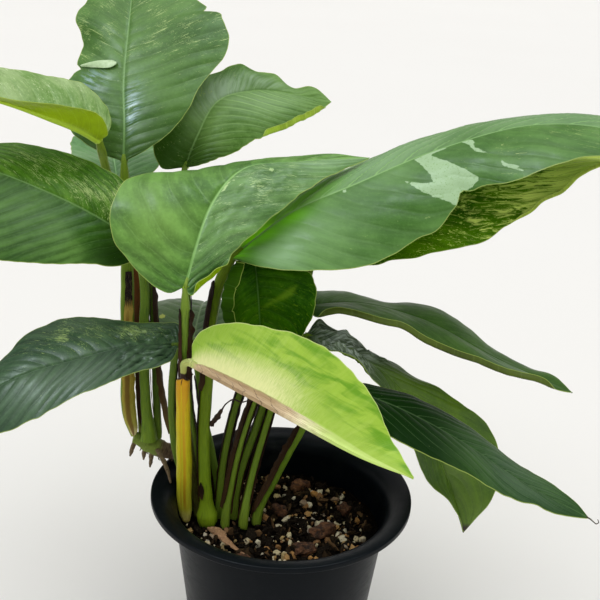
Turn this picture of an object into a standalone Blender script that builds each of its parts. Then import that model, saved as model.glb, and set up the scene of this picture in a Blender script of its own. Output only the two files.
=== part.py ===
"""A potted variegated rhaphidophora: black nursery pot, potting mix, stalks and leaf blades.

Lengths are in millimetres until they are placed, and then in metres, with +Z up.
The origin is the middle of the pot's underside, and the plant is seen best from -Y.
"""

import math

import bmesh
import bpy
import numpy as np
from mathutils import Vector

MM = 0.001

# Pot
POT_HEIGHT = 120.0
RIM_RADIUS = 70.4
BASE_RADIUS = 44.6
NECK_RADIUS = 57.8
NECK_HEIGHT = 109.0
WALL = 1.4
FLOOR = 2.2
FLOOR_CORNER = 2.0
FOOT_BEVEL = 1.0
LIP_DEPTH = 3.2
LIP_WIDTH = 2.4
LIP_BEVEL = 0.7
FLARE_STEPS = 6
POT_STEPS = 40
DRAIN_HOLES = 8
DRAIN_RADIUS = 3.5
DRAIN_CIRCLE = 33.0

# Potting mix and what touches it
SOIL_TOP = 96.0
SEAT_GAP = 0.3

# Leaves
BLADE_THICKNESS = 0.7
BLADE_STATIONS = 13
RIBS_PER_HALF = 3
BASE_HALF_WIDTH = 1.2
TIP_HALF_WIDTH = 0.5
RIB_SWEEP = 1.2
STALK_TOP_RADIUS = 1.3
STRAIGHT_FOOT = 3.0
BLADE_SEAT_GAP = 0.8
POINTS_PER_SPAN = 3

# Each blade has its midrib from base to tip, then its left and right margins without
# those two ends. Left is the left hand of someone who looks from base to tip along the
# upper side. Crown is how far each half bulges upwards, as a part of its width.
BLADES = {
    "crown": {
        "midrib": [(-89, 34, 289), (-90, 42, 306), (-93, 58, 326), (-94, 80, 350), (-96, 112, 374)],
        "left": [(-104, 38, 293), (-122, 48, 304), (-128, 58, 316), (-121, 74, 333),
                 (-122, 90, 352), (-113, 105, 369)],
        "right": [(-75, 36, 297), (-61, 46, 310), (-52, 62, 328), (-43, 82, 347),
                  (-55, 96, 362), (-77, 107, 371)],
        "crown": 0.06,
    },
    "back_left": {
        "midrib": [(-99, 22, 302), (-105, 17, 307), (-119, 7, 315), (-138, -8, 325), (-169, -28, 334)],
        "left": [(-94, 17, 306), (-96, 9, 318), (-106, -4, 323), (-123, -18, 327), (-143, -28, 333),
                 (-157, -31, 335)],
        "right": [(-95, 31, 307), (-98, 37, 316), (-107, 38, 324), (-122, 31, 330), (-144, 14, 337),
                  (-160, -8, 337)],
        "crown": 0.04,
    },
    "back_right": {
        "midrib": [(-61, 60, 281), (-54, 64, 299), (-46, 74, 314), (-26, 90, 319), (17, 100, 313)],
        "left": [(-73, 57, 281), (-78, 62, 295), (-70, 76, 314), (-51, 92, 326), (-23, 102, 329),
                 (2, 104, 319)],
        "right": [(-54, 56, 282), (-41, 57, 288), (-25, 64, 297), (-8, 76, 304), (6, 88, 309)],
        "crown": 0.08,
    },
    "wide_left": {
        "midrib": [(-81, 4, 258), (-96, 0, 269), (-118, -6, 282), (-152, -15, 296), (-198, -36, 297)],
        "left": [(-77, -2, 249), (-84, -8, 246), (-111, -18, 250), (-137, -25, 253), (-166, -34, 262),
                 (-185, -40, 279)],
        "right": [(-78, 12, 264), (-84, 23, 280), (-98, 25, 287), (-129, 20, 297), (-160, 11, 300),
                  (-186, -10, 301)],
        "crown": 0.08,
    },
    "front": {
        "midrib": [(-50, -24, 244), (-46, -16, 261), (-40, -3, 279), (-27, 18, 292), (1, 36, 293),
                   (38, 52, 293)],
        "left": [(-58, -24, 240), (-75, -21, 251), (-87, -17, 275), (-82, -3, 288), (-61, 18, 290),
                 (-19, 44, 290)],
        "right": [(-48, -23, 244), (-37, -14, 252), (-20, -2, 265), (1, 16, 280), (17, 34, 287)],
        "crown": 0.08,
    },
    "long_right": {
        "midrib": [(-31, 15, 246), (-2, 25, 269), (30, 31, 284), (72, 33, 304), (119, 27, 320),
                   (153, 14, 321), (187, 0, 307)],
        "left": [(-37, 26, 250), (-14, 48, 268), (38, 64, 289), (75, 68, 305), (121, 60, 317),
                 (157, 38, 322), (175, 16, 316)],
        "right": [(-25, 6, 247), (4, -1, 248), (53, 6, 258), (80, 10, 281), (106, 5, 296),
                  (139, 0, 311), (164, -4, 312)],
        "crown": 0.08,
    },
    "under_right": {
        "midrib": [(10, 35, 236), (33, 45, 252), (71, 52, 276), (122, 50, 295), (175, 38, 303)],
        "left": [(9, 48, 238), (31, 74, 256), (81, 88, 276), (134, 80, 294), (163, 58, 302)],
        "right": [(16, 30, 236), (45, 25, 243), (76, 24, 252), (105, 25, 263), (122, 26, 276),
                  (148, 29, 297)],
        "crown": 0.06,
    },
    "hanging": {
        "midrib": [(-19, 14, 245), (-17, 9, 232), (-15, 8, 212), (-13, 11, 176)],
        "left": [(-4, 13, 246), (9, 8, 243), (13, 4, 230), (7, 4, 210), (-2, 7, 190)],
        "right": [(-27, 12, 245), (-32, 6, 238), (-34, 4, 223), (-30, 4, 209), (-23, 7, 190)],
        "crown": 0.04,
    },
    "right_back": {
        "midrib": [(7, 30, 216), (32, 38, 216), (71, 40, 208), (116, 34, 188), (156, 24, 175)],
        "left": [(6, 42, 217), (24, 56, 215), (50, 62, 209), (85, 60, 206), (123, 48, 184),
                 (143, 36, 178)],
        "right": [(12, 22, 213), (30, 18, 217), (60, 18, 210), (97, 20, 193), (131, 20, 182)],
        "crown": 0.06,
    },
    "right_low": {
        "midrib": [(9, 20, 203), (31, 26, 193), (54, 30, 178), (77, 32, 146), (94, 28, 115),
                   (105, 18, 86)],
        "left": [(15, 32, 208), (33, 38, 195), (59, 42, 179), (93, 40, 161), (118, 36, 142),
                 (123, 28, 112)],
        "right": [(12, 14, 201), (34, 18, 190), (51, 22, 174), (66, 26, 146), (82, 22, 119),
                  (99, 18, 102)],
        "crown": 0.05,
    },
    "right_front": {
        "midrib": [(34, -10, 187), (59, -6, 176), (92, -8, 160), (130, -14, 138), (162, -20, 124)],
        "left": [(37, 0, 186), (58, 12, 178), (89, 14, 164), (121, 6, 145), (148, -8, 133)],
        "right": [(36, -22, 185), (54, -30, 170), (84, -32, 158), (119, -28, 139), (145, -23, 128)],
        "crown": 0.07,
    },
    "left_low": {
        "midrib": [(-57, 4, 201), (-79, -4, 203), (-104, -12, 198), (-135, -22, 190), (-160, -30, 174)],
        "left": [(-59, -6, 196), (-76, -15, 193), (-99, -28, 186), (-125, -38, 175), (-145, -38, 168)],
        "right": [(-57, 11, 207), (-81, 13, 208), (-107, 12, 210), (-129, 5, 206), (-146, -10, 193),
                  (-157, -22, 182)],
        "crown": 0.06,
    },
    "yellow": {
        "midrib": [(-48, -16, 201), (-17, -27, 189), (11, -34, 175), (41, -40, 160), (65, -42, 156)],
        "left": [(-45, -5, 203), (-31, -5, 212), (-1, -9, 206), (28, -17, 190), (50, -30, 165)],
        "right": [(-48, -17, 210), (-38, -17, 221), (-13, -18, 223), (15, -20, 216), (40, -24, 195),
                  (54, -32, 171)],
        "crown": -0.06,
    },
    "back_low": {
        "midrib": [(-53, 33, 190), (-53, 52, 192), (-53, 82, 193), (-53, 125, 173), (-52, 152, 150)],
        "left": [(-60, 34, 187), (-75, 52, 187), (-81, 85, 189), (-76, 118, 178), (-63, 142, 159)],
        "right": [(-46, 34, 188), (-36, 54, 188), (-32, 84, 191), (-35, 118, 178), (-45, 142, 160)],
        "crown": 0.06,
    },
    "far_back": {
        "midrib": [(-98, 62, 267), (-103, 84, 270), (-111, 118, 272), (-118, 152, 272)],
        "left": [(-107, 66, 268), (-127, 84, 274), (-135, 112, 276), (-131, 140, 276)],
        "right": [(-90, 66, 269), (-79, 84, 275), (-82, 112, 278), (-99, 140, 277)],
        "crown": 0.06,
    },
}

# Each stalk has where its foot stands, the route up to its blade, its radius at the foot
# and its widest radius.
STALKS = {
    "crown": {
        "foot": (-84.5, 23, 135.2),
        "route": [(-87.5, 24, 148), (-88.5, 28, 180), (-87, 33, 230), (-88, 34, 262)],
        "foot_radius": 2.2, "radius": 3.6,
    },
    "back_left": {
        "foot": (-80, 27, 134.4),
        "route": [(-83, 34, 155), (-88, 39, 190), (-90, 42, 235), (-96, 38, 270), (-99, 32, 290)],
        "foot_radius": 1.9, "radius": 2.6,
    },
    "wide_left": {
        "foot": (-75.5, 22, 134.0),
        "route": [(-77, 24, 150), (-79, 29, 190), (-78, 27, 225), (-79, 16, 246)],
        "foot_radius": 2.2, "radius": 3.2,
    },
    "far_back": {
        "foot": (-71, 26, 133.0),
        "route": [(-72.5, 31, 155), (-74.5, 37, 190), (-78, 41, 225), (-86, 48, 250)],
        "foot_radius": 1.7, "radius": 2.1,
    },
    "back_right": {
        "foot": (-42, 13, SOIL_TOP),
        "route": [(-48, 15, 130), (-53, 14, 165), (-54, 15, 200), (-55, 22, 225), (-57, 36, 255),
                  (-60, 53, 275)],
        "foot_radius": 2.4, "radius": 2.4,
    },
    "front": {
        "foot": (-46, 6, SOIL_TOP),
        "route": [(-50, 6, 130), (-52, 0, 160), (-51, -2, 178), (-50.5, -6, 200), (-50, -14, 222)],
        "foot_radius": 2.6, "radius": 2.5,
    },
    "long_right": {
        "foot": (-40, -2, SOIL_TOP),
        "route": [(-42, 0, 125), (-43, 3, 150), (-42, 6, 180), (-41, 12, 210), (-37, 17, 232)],
        "foot_radius": 4.2, "radius": 3.5,
    },
    "under_right": {
        "foot": (-30, -4, SOIL_TOP),
        "route": [(-28, 0, 120), (-21, 7, 155), (-12, 15, 180), (-3, 20, 198), (3, 22, 215),
                  (7, 28, 227)],
        "foot_radius": 2.6, "radius": 2.5,
    },
    "hanging": {
        "foot": (-34, 6, SOIL_TOP),
        "route": [(-33, 12, 125), (-28, 20, 155), (-20, 27, 185), (-16, 29, 215), (-15, 26, 238),
                  (-17, 20, 247)],
        "foot_radius": 2.4, "radius": 2.3,
    },
    "right_back": {
        "foot": (-26, 5, SOIL_TOP),
        "route": [(-24, 8, 120), (-15, 17, 150), (-7, 25, 178), (0, 31, 203)],
        "foot_radius": 2.5, "radius": 2.4,
    },
    "right_low": {
        "foot": (-20, -3, SOIL_TOP),
        "route": [(-17, 4, 120), (-10, 13, 150), (-3, 21, 176), (3, 23, 193)],
        "foot_radius": 2.7, "radius": 2.5,
    },
    "right_front": {
        "foot": (-13, 1, SOIL_TOP),
        "route": [(-4, 3, 125), (6, 1, 150), (17, -3, 173), (27, -8, 184)],
        "foot_radius": 2.9, "radius": 2.6,
    },
    "left_low": {
        "foot": (-49.5, 12, SOIL_TOP),
        "route": [(-50.5, 12.5, 110), (-57, 13, 124), (-61, 12, 150), (-61, 11, 175), (-59, 8, 193)],
        "foot_radius": 2.2, "radius": 2.2,
    },
    "yellow": {
        "foot": (-51, 0, SOIL_TOP),
        "route": [(-52, -3, 120), (-52.5, -6, 145), (-52.5, -10, 176), (-52, -13, 194),
                  (-51, -15, 199.5)],
        "foot_radius": 3.0, "radius": 4.4,
    },
    "back_low": {
        "foot": (-36, 20, SOIL_TOP),
        "route": [(-40, 23, 125), (-46, 28, 150), (-50, 32, 175)],
        "foot_radius": 2.2, "radius": 2.1,
    },
}

# Dried leaf sheaths wrap a stretch of a stalk. Facing is the side that stays covered.
SHEATHS = {
    "crown": {"stretch": (0.10, 0.62), "facing": (-0.5, -1.0, 0.0), "half_angle": 100},
    "far_back": {"stretch": (0.08, 0.60), "facing": (1.0, -0.4, 0.0), "half_angle": 85},
    "front": {"stretch": (0.50, 0.84), "facing": (0.3, 1.0, 0.0), "half_angle": 115},
    "long_right": {"stretch": (0.55, 0.90), "facing": (-1.0, -0.3, 0.0), "half_angle": 75},
    "under_right": {"stretch": (0.08, 0.55), "facing": (-1.0, -0.5, 0.0), "half_angle": 60},
    "right_front": {"stretch": (0.10, 0.60), "facing": (-1.0, -0.5, 0.0), "half_angle": 60},
}
SHEATH_THICKNESS = 0.45
SHEATH_CLEARANCE = 0.55
SHEATH_STATIONS = 9
SHEATH_SPANS = 4

# The creeping stem on the left climbs out of the pot, over the rim, to its own stalks.
CREEPING_STEM = [(-45, 24, SOIL_TOP + SEAT_GAP), (-45, 24, 102), (-46, 24.5, 111),
                 (-50, 25, 118.5), (-57, 26, 124), (-63.5, 26, 126.5), (-69, 25, 128),
                 (-76, 24.5, 129.3), (-82, 25, 130.2), (-88, 24, 131)]
CREEPING_STEM_RADII = [3.0, 3.0, 3.1, 3.2, 3.3, 3.5, 4.2, 4.8, 4.8, 3.4]
AERIAL_ROOTS = {
    "aerial_root_left": [(-84, 24.5, 124.9), (-86, 22, 120), (-89, 20, 113)],
    "aerial_root_middle": [(-78, 24, 123.9), (-78.5, 23, 119), (-77.5, 22.5, 115)],
    "aerial_root_right": [(-73, 23, 123.6), (-74.5, 21.5, 117), (-75.5, 20.5, 109)],
    "aerial_root_over_rim": [(-68.5, 20.2, 124.5), (-66, 14, 124), (-63, 6, 121.5), (-60.5, 0, 119.2)],
}
AERIAL_ROOT_RADIUS = 1.1
DEAD_TWIG = [(-38.0, 3.0, 157), (-36, 1.5, 161), (-33.5, 0.5, 166)]
DEAD_TWIG_RADIUS = 1.0
TAN_STRIP = [(-38, -11), (-33, -14), (-26, -22), (-17, -30)]
TAN_STRIP_RADIUS = 1.5

# Bark chunks lie on the mix: middle, size along X, Y and Z, and turn in degrees.
BARK_CHUNKS = [
    {"at": (24, -6), "size": (14, 9, 6), "turn": 25},
    {"at": (-1, 12), "size": (10, 7, 5), "turn": -30},
    {"at": (13, -24), "size": (12, 8, 5), "turn": 10},
    {"at": (36, 16), "size": (9, 7, 5), "turn": 60},
    {"at": (-18, -38), "size": (11, 7, 5), "turn": -15},
    {"at": (10, 38), "size": (12, 8, 6), "turn": 40},
]

BLADE_COLOURS = {
    "crown": (0.06, 0.17, 0.035),
    "back_left": (0.14, 0.27, 0.04),
    "back_right": (0.07, 0.19, 0.06),
    "front": (0.06, 0.22, 0.03),
    "long_right": (0.06, 0.20, 0.04),
    "yellow": (0.36, 0.55, 0.07),
}
DARK_BLADE = (0.03, 0.09, 0.03)
STALK_GREEN = (0.13, 0.24, 0.03)
STALK_YELLOW = (0.62, 0.46, 0.04)


def clear_scene():
    for obj in list(bpy.data.objects):
        bpy.data.objects.remove(obj, do_unlink=True)


def material(name, colour, roughness):
    made = bpy.data.materials.new(name)
    made.use_nodes = True
    shader = made.node_tree.nodes["Principled BSDF"]
    shader.inputs["Base Color"].default_value = (*colour, 1.0)
    shader.inputs["Roughness"].default_value = roughness
    shader.inputs["Metallic"].default_value = 0.0
    return made


def add_mesh(name, points, faces, finish, smooth_angle=40):
    """A mesh object from points in millimetres."""
    mesh = bpy.data.meshes.new(name)
    mesh.from_pydata([tuple(float(c) * MM for c in p) for p in points], [], faces)
    mesh.materials.append(finish)
    mesh.shade_smooth()
    mesh.set_sharp_from_angle(angle=math.radians(smooth_angle))
    obj = bpy.data.objects.new(name, mesh)
    bpy.context.scene.collection.objects.link(obj)
    return obj


def smooth_curve(points, fractions):
    """Points at these fractions of a smooth curve through all the given points."""
    points = np.asarray(points, float)
    knots = np.concatenate([[0.0], np.cumsum(np.linalg.norm(np.diff(points, axis=0), axis=1))])
    knots /= knots[-1]
    slopes = np.gradient(points, knots, axis=0)
    fractions = np.asarray(fractions, float)
    span = np.clip(np.searchsorted(knots, fractions, side="right") - 1, 0, len(knots) - 2)
    width = (knots[span + 1] - knots[span])[:, None]
    t = (fractions[:, None] - knots[span][:, None]) / width
    start, end = points[span], points[span + 1]
    return (
        (2 * t**3 - 3 * t**2 + 1) * start
        + (t**3 - 2 * t**2 + t) * width * slopes[span]
        + (3 * t**2 - 2 * t**3) * end
        + (t**3 - t**2) * width * slopes[span + 1]
    )


def span_fractions(points, per_span):
    """Fractions along a curve that put the same number of points in every span."""
    points = np.asarray(points, float)
    knots = np.concatenate([[0.0], np.cumsum(np.linalg.norm(np.diff(points, axis=0), axis=1))])
    count = (len(knots) - 1) * per_span + 1
    return np.interp(np.linspace(0, len(knots) - 1, count), range(len(knots)), knots / knots[-1])


def unit(vector):
    return vector / np.maximum(np.linalg.norm(vector, axis=-1, keepdims=True), 1e-9)


def add_tube(name, points, radii, finish):
    """A round rod along the points, with flat ends; radii has one value for each point."""
    curve = bpy.data.curves.new(name, "CURVE")
    curve.dimensions = "3D"
    curve.bevel_depth = max(radii) * MM
    curve.bevel_resolution = 2
    curve.use_fill_caps = True
    spline = curve.splines.new("POLY")
    spline.points.add(len(points) - 1)
    for target, place, radius in zip(spline.points, points, radii):
        target.co = (*(float(c) * MM for c in place), 1.0)
        target.radius = radius / max(radii)
    curve.materials.append(finish)
    obj = bpy.data.objects.new(name, curve)
    bpy.context.scene.collection.objects.link(obj)
    return obj


def turned_solid(name, profile, finish):
    """A solid of revolution; the profile starts and ends on the axis."""
    mesh = bpy.data.meshes.new(name)
    points = [(radius * MM, 0.0, height * MM) for radius, height in profile]
    mesh.from_pydata(points, [(i, i + 1) for i in range(len(points) - 1)], [])
    mesh.materials.append(finish)
    obj = bpy.data.objects.new(name, mesh)
    bpy.context.scene.collection.objects.link(obj)
    screw = obj.modifiers.new("turn", "SCREW")
    screw.angle = math.tau
    screw.steps = POT_STEPS
    screw.render_steps = POT_STEPS
    screw.use_merge_vertices = True
    screw.merge_threshold = 0.00005
    screw.use_smooth_shade = True
    return obj


def inner_radius(height):
    """The pot's inner radius below the neck."""
    return BASE_RADIUS + (NECK_RADIUS - BASE_RADIUS) * height / NECK_HEIGHT - WALL


def pot_profile():
    """Half of the pot's section: up the inside, over the lip and down the outside."""
    flare_height = POT_HEIGHT - NECK_HEIGHT
    lip_inner = RIM_RADIUS - LIP_WIDTH
    inside = []
    underside = []
    for step in range(FLARE_STEPS + 1):
        angle = math.radians(90 * step / FLARE_STEPS)
        inside.append((
            lip_inner - (lip_inner - NECK_RADIUS + WALL) * math.cos(angle),
            NECK_HEIGHT + flare_height * math.sin(angle),
        ))
        underside.append((
            lip_inner - (lip_inner - NECK_RADIUS) * math.cos(angle),
            NECK_HEIGHT + (flare_height - WALL) * math.sin(angle),
        ))
    lip_low = POT_HEIGHT - LIP_DEPTH
    lip = [
        (RIM_RADIUS - LIP_BEVEL, POT_HEIGHT),
        (RIM_RADIUS, POT_HEIGHT - LIP_BEVEL),
        (RIM_RADIUS, lip_low + LIP_BEVEL),
        (RIM_RADIUS - LIP_BEVEL, lip_low),
        (RIM_RADIUS - 2 * LIP_BEVEL, lip_low),
    ]
    corner_top = FLOOR + FLOOR_CORNER
    floor = [(0, FLOOR), (inner_radius(FLOOR) - FLOOR_CORNER, FLOOR), (inner_radius(corner_top), corner_top)]
    foot = [(BASE_RADIUS, FOOT_BEVEL), (BASE_RADIUS - FOOT_BEVEL, 0.0), (0, 0)]
    return floor + inside + lip + underside[::-1] + foot


def add_pot():
    plastic = material("black_plastic", (0.012, 0.013, 0.014), 0.42)
    pot = turned_solid("pot", pot_profile(), plastic)
    cutters = bmesh.new()
    for hole in range(DRAIN_HOLES):
        angle = math.tau * hole / DRAIN_HOLES
        made = bmesh.ops.create_cone(
            cutters, cap_ends=True, segments=16, radius1=DRAIN_RADIUS * MM,
            radius2=DRAIN_RADIUS * MM, depth=4 * FLOOR * MM,
        )
        middle = Vector((math.cos(angle), math.sin(angle), 0.0)) * DRAIN_CIRCLE * MM
        bmesh.ops.translate(cutters, verts=made["verts"], vec=middle)
    mesh = bpy.data.meshes.new("drain_hole_cutters")
    cutters.to_mesh(mesh)
    cutters.free()
    cutter = bpy.data.objects.new("drain_hole_cutters", mesh)
    cutter.hide_render = True
    cutter.display_type = "WIRE"
    bpy.context.scene.collection.objects.link(cutter)
    drains = pot.modifiers.new("drain_holes", "BOOLEAN")
    drains.operation = "DIFFERENCE"
    drains.object = cutter


def add_potting_mix():
    mix = material("potting_mix", (0.035, 0.026, 0.018), 0.95)
    low = FLOOR + FLOOR_CORNER + SEAT_GAP
    profile = [
        (0, SOIL_TOP),
        (inner_radius(SOIL_TOP) - SEAT_GAP, SOIL_TOP),
        (inner_radius(low) - SEAT_GAP, low),
        (inner_radius(FLOOR) - FLOOR_CORNER - SEAT_GAP, FLOOR + SEAT_GAP),
        (0, FLOOR + SEAT_GAP),
    ]
    turned_solid("potting_mix", profile, mix)


def blade_grid(blade):
    """The blade's middle surface: stations along the midrib, and points across from left to right."""
    along = np.linspace(0, 1, BLADE_STATIONS)
    midrib = smooth_curve(blade["midrib"], along**RIB_SWEEP)
    base, tip = midrib[0], midrib[-1]
    edges = []
    for side in ("left", "right"):
        outline = np.asarray(blade[side], float)
        start = base + unit(outline[0] - base) * BASE_HALF_WIDTH
        end = tip + unit(outline[-1] - tip) * TIP_HALF_WIDTH
        edges.append(smooth_curve([start, *outline, end], along))
    left, right = edges
    upwards = unit(np.cross(right - left, np.gradient(midrib, axis=0)))
    grid = np.empty((BLADE_STATIONS, 2 * RIBS_PER_HALF + 1, 3))
    for column in range(2 * RIBS_PER_HALF + 1):
        offset = column / RIBS_PER_HALF - 1
        edge = left if offset < 0 else right
        share = abs(offset)
        rib = edge - midrib
        width = np.linalg.norm(rib, axis=1, keepdims=True)
        bulge = blade["crown"] * math.sin(math.pi * share) * width
        grid[:, column] = midrib + rib * share + upwards * bulge
    return grid


def add_blade(name, blade):
    grid = blade_grid(blade)
    rows, columns = grid.shape[:2]
    faces = []
    for row in range(rows - 1):
        for column in range(columns - 1):
            corner = row * columns + column
            faces.append((corner, corner + 1, corner + columns + 1, corner + columns))
    green = material("blade_" + name, BLADE_COLOURS.get(name, DARK_BLADE), 0.35)
    obj = add_mesh("blade_" + name, grid.reshape(-1, 3), faces, green)
    solid = obj.modifiers.new("thickness", "SOLIDIFY")
    solid.thickness = BLADE_THICKNESS * MM
    solid.offset = 0.0


def stalk_line(name):
    """A stalk's points, radii and fractions, from its foot to just short of its blade."""
    stalk = STALKS[name]
    foot = np.array(stalk["foot"], float) + (0, 0, SEAT_GAP)
    base = np.array(BLADES[name]["midrib"][0], float)
    route = [foot, foot + (0, 0, STRAIGHT_FOOT), *(np.array(p, float) for p in stalk["route"])]
    route.append(base - unit(base - route[-1]) * BLADE_SEAT_GAP)
    fractions = span_fractions(route, POINTS_PER_SPAN)
    swell = np.interp(
        fractions,
        [0.0, 0.12, 0.6, 0.93, 1.0],
        [stalk["foot_radius"], stalk["radius"], stalk["radius"] * 0.92, stalk["radius"] * 0.8,
         STALK_TOP_RADIUS],
    )
    return smooth_curve(route, fractions), swell, fractions


def add_stalk(name):
    points, radii, _ = stalk_line(name)
    colour = STALK_YELLOW if name == "yellow" else STALK_GREEN
    add_tube("stalk_" + name, points, radii.tolist(), material("stalk_" + name, colour, 0.4))


def add_sheath(name, sheath):
    """A thin dried trough that follows a stretch of a stalk with a small clearance."""
    points, radii, fractions = stalk_line(name)
    wanted = np.linspace(*sheath["stretch"], SHEATH_STATIONS)
    middle = np.stack([np.interp(wanted, fractions, points[:, axis]) for axis in range(3)], axis=1)
    inner = np.interp(wanted, fractions, radii) + SHEATH_CLEARANCE
    tangent = unit(np.gradient(middle, axis=0))
    facing = np.array(sheath["facing"], float)
    forward = unit(facing - tangent * (tangent @ facing)[:, None])
    sideways = np.cross(tangent, forward)
    taper = np.interp(wanted, [wanted[0], wanted[2], wanted[-2], wanted[-1]], [0.7, 1.0, 0.8, 0.4])
    spread = math.radians(sheath["half_angle"]) * taper
    rings = []
    for layer in (0.0, SHEATH_THICKNESS):
        for step in np.linspace(-1, 1, SHEATH_SPANS + 1):
            angle = (spread * step)[:, None]
            direction = forward * np.cos(angle) + sideways * np.sin(angle)
            rings.append(middle + direction * (inner + layer)[:, None])
    per_layer = SHEATH_SPANS + 1
    loop = list(range(per_layer)) + list(range(2 * per_layer - 1, per_layer - 1, -1))
    vertices = np.stack([rings[i] for i in loop], axis=1)
    sides = len(loop)
    faces = [tuple(range(sides))]
    for row in range(SHEATH_STATIONS - 1):
        for corner in range(sides):
            following = (corner + 1) % sides
            low, high = row * sides, (row + 1) * sides
            faces.append((low + corner, high + corner, high + following, low + following))
    faces.append(tuple(reversed(range((SHEATH_STATIONS - 1) * sides, SHEATH_STATIONS * sides))))
    dried = material("sheath_" + name, (0.05, 0.025, 0.015), 0.8)
    add_mesh("sheath_" + name, vertices.reshape(-1, 3), faces, dried, smooth_angle=50)


def add_creeping_stem():
    bark = material("creeping_stem", (0.10, 0.13, 0.03), 0.6)
    fractions = span_fractions(CREEPING_STEM, POINTS_PER_SPAN)
    knots = span_fractions(CREEPING_STEM, 1)
    radii = np.interp(fractions, knots, CREEPING_STEM_RADII)
    add_tube("creeping_stem", smooth_curve(CREEPING_STEM, fractions), radii.tolist(), bark)


def add_small_rods():
    root = material("aerial_root", (0.16, 0.10, 0.05), 0.85)
    for name, route in AERIAL_ROOTS.items():
        fractions = span_fractions(route, POINTS_PER_SPAN)
        radii = np.interp(fractions, [0, 1], [AERIAL_ROOT_RADIUS, 0.6 * AERIAL_ROOT_RADIUS])
        add_tube(name, smooth_curve(route, fractions), radii.tolist(), root)
    dead = material("dead_twig", (0.05, 0.03, 0.02), 0.9)
    fractions = span_fractions(DEAD_TWIG, POINTS_PER_SPAN)
    radii = [DEAD_TWIG_RADIUS] * len(fractions)
    add_tube("dead_twig", smooth_curve(DEAD_TWIG, fractions), radii, dead)
    tan = material("tan_strip", (0.45, 0.27, 0.13), 0.85)
    height = SOIL_TOP + SEAT_GAP + TAN_STRIP_RADIUS
    lying = [(x, y, height) for x, y in TAN_STRIP]
    fractions = span_fractions(lying, POINTS_PER_SPAN)
    radii = np.interp(fractions, [0, 1], [TAN_STRIP_RADIUS, 0.8 * TAN_STRIP_RADIUS])
    add_tube("tan_strip", smooth_curve(lying, fractions), radii.tolist(), tan)


def add_bark_chunk(number, chunk):
    """A rough lump with a flat underside, its knocked corners from a fixed wave."""
    lump = bmesh.new()
    bmesh.ops.create_icosphere(lump, subdivisions=2, radius=1.0)
    half = [size / 2 for size in chunk["size"]]
    for vertex in lump.verts:
        x, y, z = vertex.co
        knock = 1 + 0.12 * math.sin(5 * x + 3 * number) + 0.10 * math.sin(6 * y + 4 * z + number)
        boxy = max(abs(x), abs(y), abs(z)) ** -0.5
        vertex.co = (
            x * boxy * knock * half[0],
            y * boxy * knock * half[1],
            max((z * boxy * knock + 0.55) * half[2], 0.0),
        )
    turn = math.radians(chunk["turn"])
    place = (*chunk["at"], SOIL_TOP + SEAT_GAP)
    points = []
    for vertex in lump.verts:
        x, y, z = vertex.co
        points.append((
            place[0] + x * math.cos(turn) - y * math.sin(turn),
            place[1] + x * math.sin(turn) + y * math.cos(turn),
            place[2] + z,
        ))
    faces = [tuple(corner.index for corner in face.verts) for face in lump.faces]
    lump.free()
    bark = material("bark", (0.09, 0.05, 0.03), 0.9)
    add_mesh("bark_chunk_" + str(number), points, faces, bark, smooth_angle=30)


def main():
    clear_scene()
    add_pot()
    add_potting_mix()
    add_creeping_stem()
    add_small_rods()
    for name in STALKS:
        add_stalk(name)
    for name, sheath in SHEATHS.items():
        add_sheath(name, sheath)
    for name, blade in BLADES.items():
        add_blade(name, blade)
    for number, chunk in enumerate(BARK_CHUNKS, start=1):
        add_bark_chunk(number, chunk)


main()
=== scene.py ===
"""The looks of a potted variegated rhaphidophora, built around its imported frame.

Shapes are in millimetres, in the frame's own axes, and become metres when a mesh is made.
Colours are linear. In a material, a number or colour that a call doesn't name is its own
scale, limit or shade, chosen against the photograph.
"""

import math

import bmesh
import bpy
import numpy as np
from mathutils import Matrix, Vector, noise


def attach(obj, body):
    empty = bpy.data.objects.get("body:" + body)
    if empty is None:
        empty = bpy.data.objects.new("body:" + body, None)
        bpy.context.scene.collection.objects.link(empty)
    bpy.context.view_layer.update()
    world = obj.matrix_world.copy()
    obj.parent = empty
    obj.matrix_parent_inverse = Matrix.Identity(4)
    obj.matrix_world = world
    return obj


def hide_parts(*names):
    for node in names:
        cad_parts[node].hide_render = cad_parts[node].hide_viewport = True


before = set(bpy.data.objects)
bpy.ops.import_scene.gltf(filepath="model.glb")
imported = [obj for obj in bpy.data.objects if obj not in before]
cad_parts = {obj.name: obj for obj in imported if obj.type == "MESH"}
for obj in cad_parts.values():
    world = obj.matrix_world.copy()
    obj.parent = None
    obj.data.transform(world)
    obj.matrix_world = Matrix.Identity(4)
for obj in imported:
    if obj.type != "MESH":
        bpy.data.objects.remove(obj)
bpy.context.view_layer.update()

MM = 0.001
NOISE_GAIN = 1.6

# The pot and the mix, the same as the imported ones.
POT_HEIGHT = 120.0
RIM_RADIUS = 70.4
BASE_RADIUS = 44.6
NECK_RADIUS = 57.8
NECK_HEIGHT = 109.0
WALL = 1.4
FLOOR = 2.2
FLOOR_CORNER = 2.0
FOOT_BEVEL = 1.0
BASE_HOLLOW = 0.7
STEP_DEPTH = 0.5
LIP_DEPTH = 3.2
LIP_WIDTH = 2.4
LIP_BEVEL = 0.7
FLARE_POINTS = 17
WALL_HEIGHTS = (90, 60, 30, 14, 9.0)
STEP_HEIGHTS = (8.0, 3.0)
FOOT_INSETS = (0.4, 1.4, 4.0, 4.4)
POT_STEPS = 144
DRAIN_HOLES = 8
DRAIN_RADIUS = 3.5
DRAIN_CIRCLE = 33.0
HOLE_SIDES = 32
SOIL_TOP = 96.0
SEAT_GAP = 0.3
BED_RADIUS = 51.5
MIX_STEPS, MIX_RINGS = 150, 46
POT_BLACKS = ((0.0017, 0.0034, 0.0052), (0.0044, 0.0062, 0.0080))
DUST_SPECK = (0.20, 0.20, 0.18)
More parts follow.
